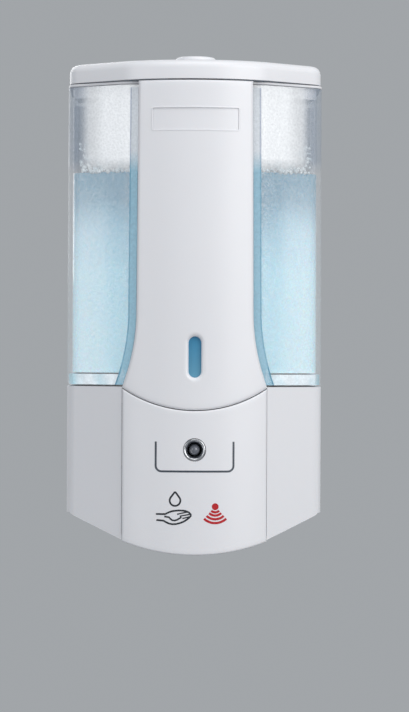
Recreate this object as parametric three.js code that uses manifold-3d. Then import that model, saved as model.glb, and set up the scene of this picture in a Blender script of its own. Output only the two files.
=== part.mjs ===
// Wall mounted automatic soap dispenser, in millimetres, +Z up, front towards -Y.
// The origin is the centre of the bracket's face on the wall. Heights named "...Height" are
// measured from the lowest tip of the body, and up() turns them into the part's own Z.

import * as THREE from 'three';
import { mergeVertices } from 'three/addons/utils/BufferGeometryUtils.js';
import Module from 'manifold-3d';

const wasm = await Module();
wasm.setup();

// ---------------------------------------------------------------- driving dimensions

const bodyWidth = 112;
const bodyDepth = 100;
const chinHeight = 17;          // rise of the slanted chin, from the tip to the flat underside
const deckHeight = 72.4;        // top of the lower body
const tankTopHeight = 203.4;
const lidLift = 1.8;            // lid's edge above the tank's rim, with the collar between them
const lidBottomHeight = tankTopHeight + lidLift;
const lidThickness = 8.4;
const buttonProud = 2.4;        // how far the button stands above the lid
const mountHeight = 125;        // centre of the wall bracket above the tip

const gap = 0.3;                // between pieces that touch
const runGap = 0.4;             // between pieces that move past each other
const wall = 2.2;               // moulded walls
const deckThickness = 2.4;
const tankWall = 2;
const tankFloor = 5.4;
const tankDraft = 0.2;          // each side leans in by this much over the tank's height
const airSpace = 37.4;          // from the tank's rim down to the soap

const up = (height) => height - mountHeight;
const half = bodyWidth / 2;

// Plan of the body: flat back, straight sides, flat wings and a curved centre.
const seamX = 31.5;
const seamStep = 1;             // the centre panel stands this proud of the wings
const tankSeamSetback = 2.6;    // the tank's front lies this far behind the seams
const panelFlange = 6.3;        // sides of the lower front panel reach this far behind the wings' corner
const wingRun = 28;             // front to back reach of wings and chin
const arcRise = 9;              // how far the centre bulges past its seams
const wingY = wingRun - bodyDepth;
const seamY = arcRise - bodyDepth;
const wingRadius = 9;
const wallClear = 0.8;          // the housing's skirt ends this short of the wall
const frontRadius = (seamX * seamX + arcRise * arcRise) / (2 * arcRise);
const frontCentreY = frontRadius - bodyDepth;

// Back of the housing: bracket plate, housing back plate, then the tank.
const bracketThickness = 2.5;
const backPlateY = -(bracketThickness + runGap);
const backPlate = 2.5;
const backPlateFront = backPlateY - backPlate;
const spineDepth = 8.6;
const tankBackY = -(spineDepth + runGap);
const columnDepth = 7.5;        // column's front to the tank's front
const columnWall = 2;

// Four cells lie in a box at the back of the bay, two deep and two high.
const cellRadius = 7.25;
const cellLength = 50.5;
const cellPitch = 2 * cellRadius + 2 * gap;
const boxWall = 1.5;
const cellBackY = backPlateFront - 2 * gap - boxWall - cellRadius;
const cellFrontY = cellBackY - cellPitch;
const boxFrontY = cellFrontY - cellRadius - gap - boxWall;

// The soap runs down one upright plane: tank outlet, hose around the pump, nozzle.
const pumpRise = 28;            // pump's axis above the flat underside
const pumpHeight = chinHeight + pumpRise;
const trackRadius = 14;         // middle of the hose around the pump
const hoseRadius = 2.5;
const hoseBend = 6;
const driveRoom = 17.1;         // from the battery box to the plane of the hose
const spigotY = boxFrontY - driveRoom;

// ---------------------------------------------------------------- finishes

const finishes = {
  whiteShell: { color: 0xe9edef, roughness: 0.32, metalness: 0 },
  clearTank: { color: 0xdfe9ee, roughness: 0.25, metalness: 0 },
  soap: { color: 0x9fcfe2, roughness: 0.1, metalness: 0 },
  greySeal: { color: 0x8a8f94, roughness: 0.8, metalness: 0 },
  darkPlastic: { color: 0x24282b, roughness: 0.5, metalness: 0 },
  steel: { color: 0xb9bec2, roughness: 0.3, metalness: 1 },
  chrome: { color: 0xd5d9dc, roughness: 0.1, metalness: 1 },
  gearNylon: { color: 0xe6dfc8, roughness: 0.5, metalness: 0 },
  silicone: { color: 0xe4e2da, roughness: 0.6, metalness: 0 },
  board: { color: 0x1f6a43, roughness: 0.55, metalness: 0 },
  cell: { color: 0x30363c, roughness: 0.4, metalness: 0.3 },
  smokedLens: { color: 0x1b1517, roughness: 0.15, metalness: 0 },
  ledLens: { color: 0xb7c4cc, roughness: 0.1, metalness: 0 },
};

const group = new THREE.Group();

function add(name, shape, finish) {
  const mesh = new THREE.Mesh(geometryOf(shape), new THREE.MeshStandardMaterial(finishes[finish]));
  mesh.name = name;
  group.add(mesh);
}

// ---------------------------------------------------------------- solids and cuts

function solid(geometry) {
  const bare = geometry.index ? geometry.toNonIndexed() : geometry.clone();
  bare.deleteAttribute('normal');
  bare.deleteAttribute('uv');
  const merged = mergeVertices(bare);
  return new wasm.Manifold(new wasm.Mesh({
    numProp: 3,
    vertProperties: merged.attributes.position.array,
    triVerts: new Uint32Array(merged.index.array),
  }));
}

function geometryOf(manifold) {
  const mesh = manifold.getMesh();
  const geometry = new THREE.BufferGeometry();
  geometry.setAttribute('position', new THREE.BufferAttribute(mesh.vertProperties, 3));
  geometry.setIndex(new THREE.BufferAttribute(mesh.triVerts, 1));
  geometry.computeVertexNormals();
  return geometry;
}

const join = (...solids) => solids.reduce((whole, next) => whole.add(next));
const cut = (whole, ...tools) => tools.reduce((left, tool) => left.subtract(tool), whole);

function box([x0, x1], [y0, y1], [z0, z1]) {
  const shape = new THREE.BoxGeometry(Math.abs(x1 - x0), Math.abs(y1 - y0), Math.abs(z1 - z0));
  shape.translate((x0 + x1) / 2, (y0 + y1) / 2, (z0 + z1) / 2);
  return solid(shape);
}

const shapeOf = (points) => new THREE.Shape(points.map(([a, b]) => new THREE.Vector2(a, b)));

function extruded(points, length) {
  return new THREE.ExtrudeGeometry(shapeOf(points), { depth: length, bevelEnabled: false });
}

// Outline in X and Y, standing from z0 to z1.
const prismZ = (points, z0, z1) => solid(extruded(points, z1 - z0).translate(0, 0, z0));

// Outline in X and Z, running from yBack forward to yFront.
function prismY(points, yBack, yFront) {
  return solid(extruded(points, yBack - yFront).rotateX(Math.PI / 2).translate(0, yBack, 0));
}

// Outline in Y and Z, running from x0 to x1.
function prismX(points, x0, x1) {
  const turn = new THREE.Matrix4().makeBasis(
    new THREE.Vector3(0, 1, 0),
    new THREE.Vector3(0, 0, 1),
    new THREE.Vector3(1, 0, 0),
  );
  return solid(extruded(points, x1 - x0).applyMatrix4(turn).translate(x0, 0, 0));
}

// Round bar along one axis: centre gives the other two coordinates, in X, Y, Z order.
function rod(axis, radius, from, to, centre, sides = 16, endRadius = radius) {
  const bar = new THREE.CylinderGeometry(endRadius, radius, Math.abs(to - from), sides);
  const middle = (from + to) / 2;
  const flip = to < from ? Math.PI : 0;
  if (axis === 'x') {
    bar.rotateZ(-Math.PI / 2 + flip).translate(middle, centre[0], centre[1]);
  } else if (axis === 'y') {
    bar.rotateX(flip).translate(centre[0], middle, centre[1]);
  } else {
    bar.rotateX(Math.PI / 2 + flip).translate(centre[0], centre[1], middle);
  }
  return solid(bar);
}

// Corner list [a, b, radius] to outline points, with the round corners as arcs.
function rounded(corners, stepsPerCorner = 4) {
  const points = [];
  corners.forEach(([a, b, radius = 0], i) => {
    const corner = new THREE.Vector2(a, b);
    if (radius === 0) {
      points.push([a, b]);
      return;
    }
    const last = corners[(i + corners.length - 1) % corners.length];
    const next = corners[(i + 1) % corners.length];
    const back = new THREE.Vector2(last[0], last[1]).sub(corner).normalize();
    const ahead = new THREE.Vector2(next[0], next[1]).sub(corner).normalize();
    const halfAngle = Math.acos(THREE.MathUtils.clamp(back.dot(ahead), -1, 1)) / 2;
    const bisector = back.clone().add(ahead).normalize();
    const centre = corner.clone().addScaledVector(bisector, radius / Math.sin(halfAngle));
    const reach = radius / Math.tan(halfAngle);
    const start = corner.clone().addScaledVector(back, reach).sub(centre);
    const end = corner.clone().addScaledVector(ahead, reach).sub(centre);
    const sweep = Math.atan2(start.cross(end), start.dot(end));
    for (let step = 0; step <= stepsPerCorner; step += 1) {
      const turned = start.clone().rotateAround(new THREE.Vector2(), (sweep * step) / stepsPerCorner);
      points.push([centre.x + turned.x, centre.y + turned.y]);
    }
  });
  return points;
}

// Moves every edge of a counter-clockwise outline outwards by grow (inwards when negative).
function offset(points, grow) {
  return points.map(([x, y], i) => {
    const [lx, ly] = points[(i + points.length - 1) % points.length];
    const [nx, ny] = points[(i + 1) % points.length];
    const before = new THREE.Vector2(y - ly, lx - x).normalize();
    const after = new THREE.Vector2(ny - y, x - nx).normalize();
    const mitre = before.clone().add(after);
    const scale = (2 * grow) / mitre.lengthSq();
    return [x + mitre.x * scale, y + mitre.y * scale];
  });
}

const rectangle = (x0, x1, y0, y1, radius = 0) => rounded([
  [x0, y0, radius],
  [x1, y0, radius],
  [x1, y1, radius],
  [x0, y1, radius],
]);

function circle(radius, sides, [x, y] = [0, 0]) {
  return Array.from({ length: sides }, (_, i) => {
    const angle = (2 * Math.PI * i) / sides;
    return [x + radius * Math.cos(angle), y + radius * Math.sin(angle)];
  });
}

// Body outline seen from above: back, sides, wings, and an arc between the seams.
function plan({ backY = -wallClear, halfWidth = half, atSeam = seamY, atFront = -bodyDepth, inset = 0 }) {
  const rise = atSeam - atFront;
  const radius = (seamX * seamX + rise * rise) / (2 * rise);
  const sweep = Math.asin(seamX / radius);
  const arcSteps = 12;
  const arc = [];
  for (let step = 0; step <= arcSteps; step += 1) {
    const angle = sweep * ((2 * step) / arcSteps - 1);
    arc.push([radius * Math.sin(angle), atFront + radius * (1 - Math.cos(angle))]);
  }
  const outline = rounded([
    [halfWidth, backY],
    [-halfWidth, backY],
    [-halfWidth, wingY, wingRadius],
    ...arc,
    [halfWidth, wingY, wingRadius],
  ]);
  return offset(outline, -inset);
}

// Leans the sides of a solid in towards the top, from the deck up to the tank's rim.
function leaned(geometry) {
  const place = geometry.attributes.position;
  for (let i = 0; i < place.count; i += 1) {
    const rise = (place.getZ(i) - up(deckHeight)) / (tankTopHeight - deckHeight);
    place.setX(i, place.getX(i) * (1 - (tankDraft / half) * Math.max(0, rise)));
  }
  return geometry;
}

// ---------------------------------------------------------------- wall bracket

const bracketWidth = 70;
const bracketHeight = 100;
const screwHoleX = bracketWidth / 2 - 9;
const screwHoleZ = bracketHeight / 2 - 8;
const screwHoleRadius = 2.4;
const screwSinkRadius = 4.4;
const hookX = screwHoleX - 4;
const hookZ = screwHoleZ - 10;  // hooks sit this far above and below the bracket's centre
const hookWidth = 12;
const hookThickness = 1.7;
const hookNeck = 4;
const hookTip = 12;             // height of a hook, neck included
const liftTravel = 9;           // how far the dispenser lifts before it comes off

const hookPlaces = [[-hookX, -hookZ], [hookX, -hookZ], [-hookX, hookZ], [hookX, hookZ]];
const hookBackY = backPlateFront - runGap;
const hookFrontY = hookBackY - hookThickness;

function wallBracket() {
  const face = rectangle(-bracketWidth / 2, bracketWidth / 2, -bracketHeight / 2, bracketHeight / 2, 5);
  let plate = prismY(face, 0, -bracketThickness);
  for (const [x, z] of hookPlaces) {
    const sides = [x - hookWidth / 2, x + hookWidth / 2];
    const neck = box(sides, [-bracketThickness + 0.5, hookFrontY], [z, z + hookNeck]);
    const tip = box(sides, [hookBackY, hookFrontY], [z, z + hookTip]);
    plate = join(plate, neck, tip);
  }
  for (const x of [-screwHoleX, screwHoleX]) {
    for (const z of [-screwHoleZ, screwHoleZ]) {
      const hole = rod('y', screwHoleRadius, 1, -bracketThickness - 1, [x, z], 12);
      const sink = rod('y', screwHoleRadius, -0.8, -bracketThickness - 0.01, [x, z], 12, screwSinkRadius);
      plate = cut(plate, hole, sink);
    }
  }
  return plate;
}

// ---------------------------------------------------------------- lower body and back plate

const chinSlope = chinHeight / wingRun;
const chinStretch = Math.hypot(1, chinSlope);
const past = 40;                // how far cutting shapes run past the body

// Everything below the underside, raised into the body by "raise" square to its surface.
function belowUnderside(raise, width = bodyWidth + past) {
  const bendY = wingY - (raise * (chinStretch - 1)) / chinSlope;
  const frontY = -bodyDepth - past;
  const frontHeight = chinHeight + raise - chinSlope * (bendY - frontY);
  return prismX([
    [past, up(-3 * past)],
    [past, up(chinHeight + raise)],
    [bendY, up(chinHeight + raise)],
    [frontY, up(frontHeight)],
    [frontY, up(-3 * past)],
  ], -width / 2, width / 2);
}

const bossX = half - 12;
const bossBackY = -16;
const bossFrontY = wingY + 8;
const bossRadius = 3.6;
const screwRadius = 1.1;
const screwHeadRadius = 2.8;
const screwHeadDepth = 1.6;
const bossPlaces = [
  [-bossX, bossBackY],
  [bossX, bossBackY],
  [-bossX, bossFrontY],
  [bossX, bossFrontY],
];

const spigotRadius = 4.5;
const sealRadius = 6.8;
const sealDepth = 1.8;

const hingeY = -9;
const hingeHeight = lidBottomHeight + 1.9;
const hingeZ = up(hingeHeight);
const hingePinRadius = 1.2;
const hingeBarrelRadius = 2.8;
const spineDrop = 2;            // the spine ends this far below the tank's rim
const lugX = 34;
const lugWidth = 8;
const earWidth = 2.6;

function rearHousing() {
  const behindPanel = { atSeam: seamY + seamStep, atFront: seamStep - bodyDepth };
  const outer = prismZ(plan(behindPanel), up(-past), up(deckHeight));
  const bay = prismZ(
    plan({ ...behindPanel, backY: backPlateFront + wall, inset: wall }),
    up(-2 * past),
    up(deckHeight - deckThickness),
  );
  const frontOpening = box(
    [-seamX, seamX],
    [wingY - panelFlange + gap, -bodyDepth - past],
    [up(-past), up(deckHeight) + 1],
  );
  let housing = cut(outer, bay, belowUnderside(0), frontOpening);

  // Bosses hang from the deck for the screws of the base cover.
  for (const place of bossPlaces) {
    const boss = rod('z', bossRadius, up(chinHeight + wall + gap), up(deckHeight) - 0.5, place, 16);
    const pilot = rod('z', screwRadius + 0.2, up(0), up(chinHeight + 16), place, 12);
    housing = cut(join(housing, boss), pilot);
  }

  // Spine behind the tank, with its sides turned forward and back.
  const spineSides = rectangle(-half, half, -wallClear, -spineDepth, 0).reverse();
  const spineTop = up(tankTopHeight - spineDrop);
  const spineLow = up(deckHeight - 1);
  const spine = leaned(extruded(spineSides, spineTop - spineLow).translate(0, 0, spineLow));
  const spineHollow = leaned(
    extruded(
      rectangle(wall - half, half - wall, backPlateFront, -spineDepth - 1),
      spineTop - up(deckHeight) + 1,
    ).translate(0, 0, up(deckHeight)),
  );
  housing = join(housing, cut(solid(spine), solid(spineHollow)));

  // Room behind for the bracket, and slots for its hooks.
  const behind = leaned(
    extruded(rectangle(wall - half, half - wall, 1, backPlateY), spineTop - up(chinHeight + wall) + 1)
      .translate(0, 0, up(chinHeight + wall)),
  );
  housing = cut(housing, solid(behind));
  for (const [x, z] of hookPlaces) {
    const slotTop = z + hookNeck + gap;
    housing = cut(housing, box(
      [x - hookWidth / 2 - runGap, x + hookWidth / 2 + runGap],
      [backPlateY + 1, backPlateFront - 1],
      [slotTop - hookTip - liftTravel + hookNeck - 2 * runGap, slotTop],
    ));
  }

  // Lugs that carry the lid's hinge pins.
  for (const side of [-1, 1]) {
    const sides = [side * lugX - lugWidth / 2, side * lugX + lugWidth / 2];
    const foot = box(sides, [backPlateY, -spineDepth], [spineTop - 6, spineTop + 1.6]);
    const stem = box(sides, [hingeY + hingeBarrelRadius + 0.1, hingeY + 0.5], [spineTop, hingeZ]);
    const barrel = rod('x', hingeBarrelRadius, sides[0], sides[1], [hingeY, hingeZ]);
    const bore = rod('x', hingePinRadius + gap, sides[0] - 1, sides[1] + 1, [hingeY, hingeZ], 16);
    housing = cut(join(housing, foot, stem, barrel), bore);
  }

  // Hole and seat for the tank's outlet and its seal.
  const outlet = rod('z', spigotRadius + 1, up(deckHeight) - 9, up(deckHeight) + 1, [0, spigotY], 18);
  const seat = rod('z', sealRadius + gap, up(deckHeight - sealDepth), up(deckHeight) + 1, [0, spigotY], 18);
  return cut(housing, outlet, seat);
}

// ---------------------------------------------------------------- base cover and its screws

const bayBackY = backPlateFront;
const nubLength = 1;
const contactThickness = 0.5;
const batterySpringLength = 4.2;
const contactInnerX = (cellLength + nubLength + gap + batterySpringLength) / 2 + gap;
const contactX = contactInnerX + contactThickness;
const boxHalfX = contactX + boxWall + gap;
const doorX = boxHalfX + 0.1;
const doorFrontY = boxFrontY - 2.3;
const doorHingeY = bayBackY - 4.9;
const doorHingeHeight = chinHeight + 2;
const doorBlock = 4;            // length of the blocks that carry the door's pins
const doorBarrel = 1.9;
const doorPinRadius = 0.9;
const doorPinLength = 2.4;
const nozzleBarrelRadius = 4;
const switchX = -39;
const switchY = -52;
const switchTravel = 3;
const knobLength = 6;
const knobWidth = 3.4;
const windowWidth = 24;
const windowLength = 10;
const chinAngle = Math.atan(chinSlope);
const windowY = wingY - 11;     // middle of the sensor window, seen from below
const windowHeight = chinHeight - chinSlope * (wingY - windowY);

// Turns a solid built around the origin, outside facing down, to lie on the chin.
function onChin(manifold) {
  const geometry = geometryOf(manifold);
  geometry.rotateX(chinAngle).translate(0, windowY, up(windowHeight));
  return solid(geometry);
}

function baseCover() {
  const inside = plan({
    backY: bayBackY + wall,
    atSeam: seamY + seamStep,
    atFront: seamStep - bodyDepth,
    inset: wall + gap,
  });
  const block = prismZ(inside, up(-past), up(chinHeight + wall + 3));
  const sheetTop = prismZ(inside, up(-past) - 1, up(chinHeight + wall + 4));
  let cover = cut(block, belowUnderside(0), cut(sheetTop, belowUnderside(wall)));

  // Battery opening, with a block at each end for the door's pins.
  const opening = box(
    [-doorX - gap, doorX + gap],
    [doorHingeY + doorBarrel + gap, doorFrontY - gap],
    [up(chinHeight) - 1, up(chinHeight + wall) + 1],
  );
  for (const side of [-1, 1]) {
    const inner = side * (doorX + gap);
    const sides = [inner, inner + side * doorBlock];
    const heights = [up(chinHeight) + 0.5, up(chinHeight + 4.6)];
    cover = join(cover, box(sides, [doorHingeY + 3, doorHingeY - 3], heights));
  }
  cover = cut(cover, opening);
  const pinReach = doorX + doorPinLength + gap;
  const pinHole = [doorHingeY, up(doorHingeHeight)];
  cover = cut(cover, rod('x', doorPinRadius + gap, -pinReach, pinReach, pinHole, 12));

  // Nozzle hole, switch slot, window and screw holes.
  const nozzleHole = rod('z', nozzleBarrelRadius + gap, up(0), up(chinHeight + 5), [0, spigotY], 18);
  const knobReach = knobLength / 2 + gap;
  const switchSlot = box(
    [switchX - knobReach, switchX + switchTravel + knobReach],
    [switchY - knobWidth / 2 - gap, switchY + knobWidth / 2 + gap],
    [up(chinHeight) - 1, up(chinHeight + wall) + 1],
  );
  const windowHole = onChin(prismZ(
    rectangle(
      -windowWidth / 2 - gap,
      windowWidth / 2 + gap,
      -windowLength / 2 - gap,
      windowLength / 2 + gap,
      windowLength / 2,
    ),
    -1,
    wall + 1,
  ));
  cover = cut(cover, nozzleHole, switchSlot, windowHole);
  for (const place of bossPlaces) {
    const hole = rod('z', screwRadius + gap, up(0), up(chinHeight + 4), place, 12);
    const head = rod('z', screwHeadRadius + gap, up(0), up(chinHeight + screwHeadDepth - 0.2), place, 16);
    cover = cut(cover, hole, head);
  }
  return cover;
}

function baseScrew([x, y]) {
  const headBottom = up(chinHeight + 0.1);
  const neck = up(chinHeight + screwHeadDepth - 0.5);
  const head = rod('z', screwHeadRadius, headBottom, neck, [x, y], 16);
  const shank = rod('z', screwRadius, neck - 0.2, up(chinHeight + 14), [x, y], 10);
  const slotLong = box([x - 1.7, x + 1.7], [y - 0.4, y + 0.4], [headBottom - 1, headBottom + 0.7]);
  const slotCross = box([x - 0.4, x + 0.4], [y - 1.7, y + 1.7], [headBottom - 1, headBottom + 0.7]);
  return cut(join(head, shank), slotLong, slotCross);
}

// ---------------------------------------------------------------- front column

const columnTopHeight = lidBottomHeight - 0.5;
const columnTopX = 24.7;
const columnMidX = 25.3;
const columnSag = 9.6;          // depth of the curved lower end
const flareRise = 33;
const flareEndHeight = deckHeight - 0.4;
const flareHeight = flareEndHeight + flareRise; // the column's sides start to spread here
const columnTipHeight = flareEndHeight - columnSag;
const labelWidth = 37.7;
const labelTall = 9.9;
const labelHigh = columnTopHeight - 11.8;
const labelLow = labelHigh - labelTall;
const labelDepth = 0.35;
const slotHeight = deckHeight + 12.9;
const slotWidth = 5.5;
const slotLength = 17.7;
const slotBevel = 2.1;
const flatLeft = 0.01;          // a full round end keeps this much flat, so that no two points meet

// Column outline in X and Z: sides that spread below, and a curved lower end.
function columnOutline(grow = 0) {
  const right = [];
  const tipSteps = 12;
  const tipRadius = (seamX * seamX + columnSag * columnSag) / (2 * columnSag);
  const tipSweep = Math.asin(seamX / tipRadius);
  for (let step = 0; step <= tipSteps; step += 1) {
    const angle = tipSweep * ((2 * step) / tipSteps - 1);
    right.push([tipRadius * Math.sin(angle), up(columnTipHeight + tipRadius * (1 - Math.cos(angle)))]);
  }
  const flareSteps = 8;
  const flare = (step) => {
    const share = step / flareSteps;
    const spread = columnMidX + (seamX - columnMidX) * (1 - share) ** 2;
    return [spread, up(flareEndHeight + share * (flareHeight - flareEndHeight))];
  };
  for (let step = 1; step <= flareSteps; step += 1) right.push(flare(step));
  right.push([columnTopX, up(columnTopHeight)]);
  const left = [[-columnTopX, up(columnTopHeight)]];
  for (let step = flareSteps; step >= 1; step -= 1) {
    const [x, z] = flare(step);
    left.push([-x, z]);
  }
  return offset([...right, ...left], grow);
}

// Upright round drum whose front is the body's curved front, moved in by "inset".
function frontDrum(inset) {
  const points = circle(frontRadius - inset, 72, [0, frontCentreY]);
  return prismZ(points, up(-past), up(tankTopHeight + past));
}

const tankFrontY = columnDepth - bodyDepth;
const tankSeamY = seamY + tankSeamSetback;

function tankPlan(inset, backY = tankBackY) {
  return plan({ backY, atSeam: tankSeamY, atFront: tankFrontY, inset });
}

function frontColumn() {
  const yBack = wingY;
  const yFront = -bodyDepth - past;
  const body = prismY(columnOutline(), yBack, yFront);
  const core = prismY(columnOutline(-columnWall), yBack + 1, yFront);
  const tankSpace = prismZ(tankPlan(-gap), up(deckHeight), up(tankTopHeight + past));
  const face = body.intersect(cut(frontDrum(0), frontDrum(columnWall)));
  const sides = cut(body, core).intersect(frontDrum(0));
  // Below the deck only the face is left, so that the lower body has room behind it.
  const aboveDeck = box([-half, half], [yBack, yFront], [up(deckHeight + gap), up(tankTopHeight + past)]);
  const sidesAbove = sides.intersect(aboveDeck);
  const behindWings = box([-half, half], [yBack + 2, seamY + 4], [up(-past), up(tankTopHeight + past)]);
  let column = cut(join(face, sidesAbove), cut(behindWings, tankSpace), tankSpace);

  const labelField = rectangle(-labelWidth / 2, labelWidth / 2, up(labelLow), up(labelHigh), 1);
  const label = prismY(labelField, yBack, yFront);
  column = cut(column, label.intersect(cut(frontDrum(-1), frontDrum(labelDepth))));

  // Level window with a wide bevel around it.
  const slot = (width, length) => rectangle(
    -width / 2,
    width / 2,
    up(slotHeight - length / 2),
    up(slotHeight + length / 2),
    width / 2 - flatLeft,
  );
  const through = prismY(slot(slotWidth, slotLength), yBack, yFront);
  const steps = 3;
  column = cut(column, through);
  for (let step = 0; step < steps; step += 1) {
    const spread = slotBevel * (1 - step / steps);
    const ring = prismY(slot(slotWidth + 2 * spread, slotLength + 2 * spread), yBack, yFront);
    const depth = (columnWall * 0.7 * (step + 1)) / steps;
    column = cut(column, ring.intersect(cut(frontDrum(-1), frontDrum(depth))));
  }
  return column;
}

// ---------------------------------------------------------------- lower front panel

const panelWall = 2.2;
const flangeThickness = 1.8;
const flangeStep = 0.2;
const bezelHeight = 45.4;
const bezelRadius = 4.8;
const bezelBarrel = 3.9;
const bezelFlange = 1;

function lowerFrontPanel() {
  const width = seamX - gap / 2;
  const sheet = cut(frontDrum(0), frontDrum(panelWall));
  const field = box([-width, width], [wingY, -bodyDepth - 1], [up(-past), up(deckHeight)]);
  const body = sheet.intersect(field);
  // Side flanges turn back along the wings and stop above the base cover.
  const flangeField = (x0, x1) => box(
    [x0, x1],
    [wingY - panelFlange - flangeStep, -bodyDepth - 1],
    [up(-past), up(flareEndHeight - 1)],
  );
  const flanges = cut(
    join(flangeField(-width, flangeThickness - width), flangeField(width - flangeThickness, width))
      .intersect(frontDrum(0)),
    belowUnderside(wall + gap),
  );
  const aboveColumn = prismY(columnOutline(gap), wingY + 1, -bodyDepth - past);
  const panel = cut(join(body, flanges), belowUnderside(0), aboveColumn);
  const front = -bodyDepth;
  const barrelHole = rod('y', bezelBarrel + gap, wingY, front - 1, [0, up(bezelHeight)], 24);
  const flangeSeat = rod('y', bezelRadius + gap, front + bezelFlange, front - 1, [0, up(bezelHeight)], 24);
  return cut(panel, barrelHole, flangeSeat);
}

// ---------------------------------------------------------------- tank, soap and collar

const spigotBore = 2.6;
const hoseBore = 1.5;
const hoseSocket = 3;           // how far each hose end goes into its socket
const tankBottomZ = up(deckHeight + gap);
const tankTopZ = up(tankTopHeight);
const spigotLowZ = up(pumpHeight + trackRadius + hoseBend) + 0.2;

function tankBlock(inset, z0, z1) {
  return solid(leaned(extruded(tankPlan(inset), z1 - z0).translate(0, 0, z0)));
}

function tank() {
  const outer = tankBlock(0, tankBottomZ, tankTopZ);
  const inner = tankBlock(tankWall, tankBottomZ + tankFloor, tankTopZ + 5);
  const spigot = rod('z', spigotRadius, spigotLowZ, tankBottomZ + 1, [0, spigotY], 18);
  const bore = rod('z', spigotBore, spigotLowZ - 1, tankBottomZ + tankFloor + 1, [0, spigotY], 16);
  const socket = rod('z', hoseRadius + gap, spigotLowZ - 1, spigotLowZ + hoseSocket + gap, [0, spigotY], 16);
  return cut(join(cut(outer, inner), spigot), bore, socket);
}

function liquidSoap() {
  return tankBlock(tankWall + gap, tankBottomZ + tankFloor + gap, up(tankTopHeight - airSpace));
}

function tankSeal() {
  const low = up(deckHeight - sealDepth) + gap;
  const ring = rod('z', sealRadius, low, up(deckHeight), [0, spigotY], 18);
  return cut(ring, rod('z', spigotRadius + gap, low - 1, up(deckHeight) + 1, [0, spigotY], 18));
}

const collarDrop = 1.5;         // the collar reaches this far into the tank's mouth
const collarWall = 1.6;
const clipDrop = 5;
const clipReach = 11.5;         // the clips end this far in from the body's sides

// Ring that frames the tank's mouth, with a short spigot inside it and a clip in each front corner.
function tankCollar() {
  const low = tankTopZ + gap;
  const high = up(lidBottomHeight) - runGap;
  const mouth = tankWall + gap;
  const tankFront = { atSeam: tankSeamY, atFront: tankFrontY };
  const edge = plan({ ...tankFront, backY: tankBackY - mouth, halfWidth: half - tankDraft });
  const flange = prismZ(edge, low, high);
  const inside = tankPlan(mouth + tankDraft);
  const spigot = prismZ(inside, low - collarDrop, low + 0.5);
  const clipHeights = [low - clipDrop, low + 0.5];
  const corner = (side) => box([side * (half - clipReach), side * half], [wingY + 4, -bodyDepth], clipHeights);
  const clips = prismZ(inside, ...clipHeights).intersect(join(corner(-1), corner(1)));
  const hollow = prismZ(tankPlan(mouth + tankDraft + collarWall), low - clipDrop - 1, high + 1);
  return cut(join(flange, spigot, clips), hollow);
}

// ---------------------------------------------------------------- lid, button and hinge pins

const lidHalf = half - 0.7;
const lidBackY = -5;
const lidWall = 2;
const lidRound = 3.6;
const lidFrontY = -bodyDepth;
const buttonRadius = 9;
const buttonY = 20 - bodyDepth;
const buttonTravel = 1.2;
const buttonFlange = 1.2;
const buttonRoof = 1.8;
const lidLowZ = up(lidBottomHeight);
const lidTopZ = lidLowZ + lidThickness;
const lidRoofZ = lidTopZ - lidWall;
const cupFloor = 0.9;

// Cap with rounded top edges: an extrusion with a round bevel, cut off flat below.
function lidCap(inset, low, top) {
  const points = plan({ backY: lidBackY, halfWidth: lidHalf, atFront: lidFrontY, inset });
  const bevel = lidRound - inset / 2;
  const cap = new THREE.ExtrudeGeometry(shapeOf(points), {
    depth: 2 * lidThickness,
    bevelThickness: bevel,
    bevelSize: bevel,
    bevelOffset: -bevel,
    bevelSegments: inset > 0 ? 2 : 4,
  });
  cap.translate(0, 0, top - 2 * lidThickness - bevel);
  return cut(solid(cap), box([-half - past, half + past], [past, -bodyDepth - past], [low - 3 * past, low]));
}

function lid() {
  let shell = cut(lidCap(0, lidLowZ, lidTopZ), lidCap(lidWall, lidLowZ - 1, lidRoofZ));
  // The rear of the skirt is trimmed, and notched at the lugs, so that the lid can swing.
  shell = cut(shell, box([-half, half], [0, hingeY - 3.5], [lidLowZ - 1, hingeZ]));
  for (const side of [-1, 1]) {
    const lugSides = [side * lugX - lugWidth / 2 - runGap, side * lugX + lugWidth / 2 + runGap];
    shell = cut(shell, box(lugSides, [0, hingeY - hingeBarrelRadius - runGap], [lidLowZ - 1, lidRoofZ]));
    for (const end of [-1, 1]) {
      const inner = side * lugX + end * (lugWidth / 2 + runGap);
      const sides = [Math.min(inner, inner + end * earWidth), Math.max(inner, inner + end * earWidth)];
      const ear = rod('x', hingeBarrelRadius, sides[0], sides[1], [hingeY, hingeZ]);
      const web = box(sides, [hingeY + 1.8, hingeY - 2.4], [hingeZ, lidRoofZ + 0.5]);
      const bore = rod('x', hingePinRadius + gap, sides[0] - 1, sides[1] + 1, [hingeY, hingeZ], 16);
      shell = cut(join(shell, ear, web), bore);
    }
  }
  // Cup under the roof that guides the button and carries its spring.
  const cup = rod('z', buttonRadius + 3.4, lidLowZ, lidRoofZ + 0.5, [0, buttonY], 24);
  const cupHollow = rod('z', buttonRadius + 2, lidLowZ + cupFloor, lidRoofZ, [0, buttonY], 24);
  const hole = rod('z', buttonRadius + runGap, lidRoofZ - 1, lidTopZ + 1, [0, buttonY], 24);
  return cut(join(shell, cup), cupHollow, hole);
}

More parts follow.
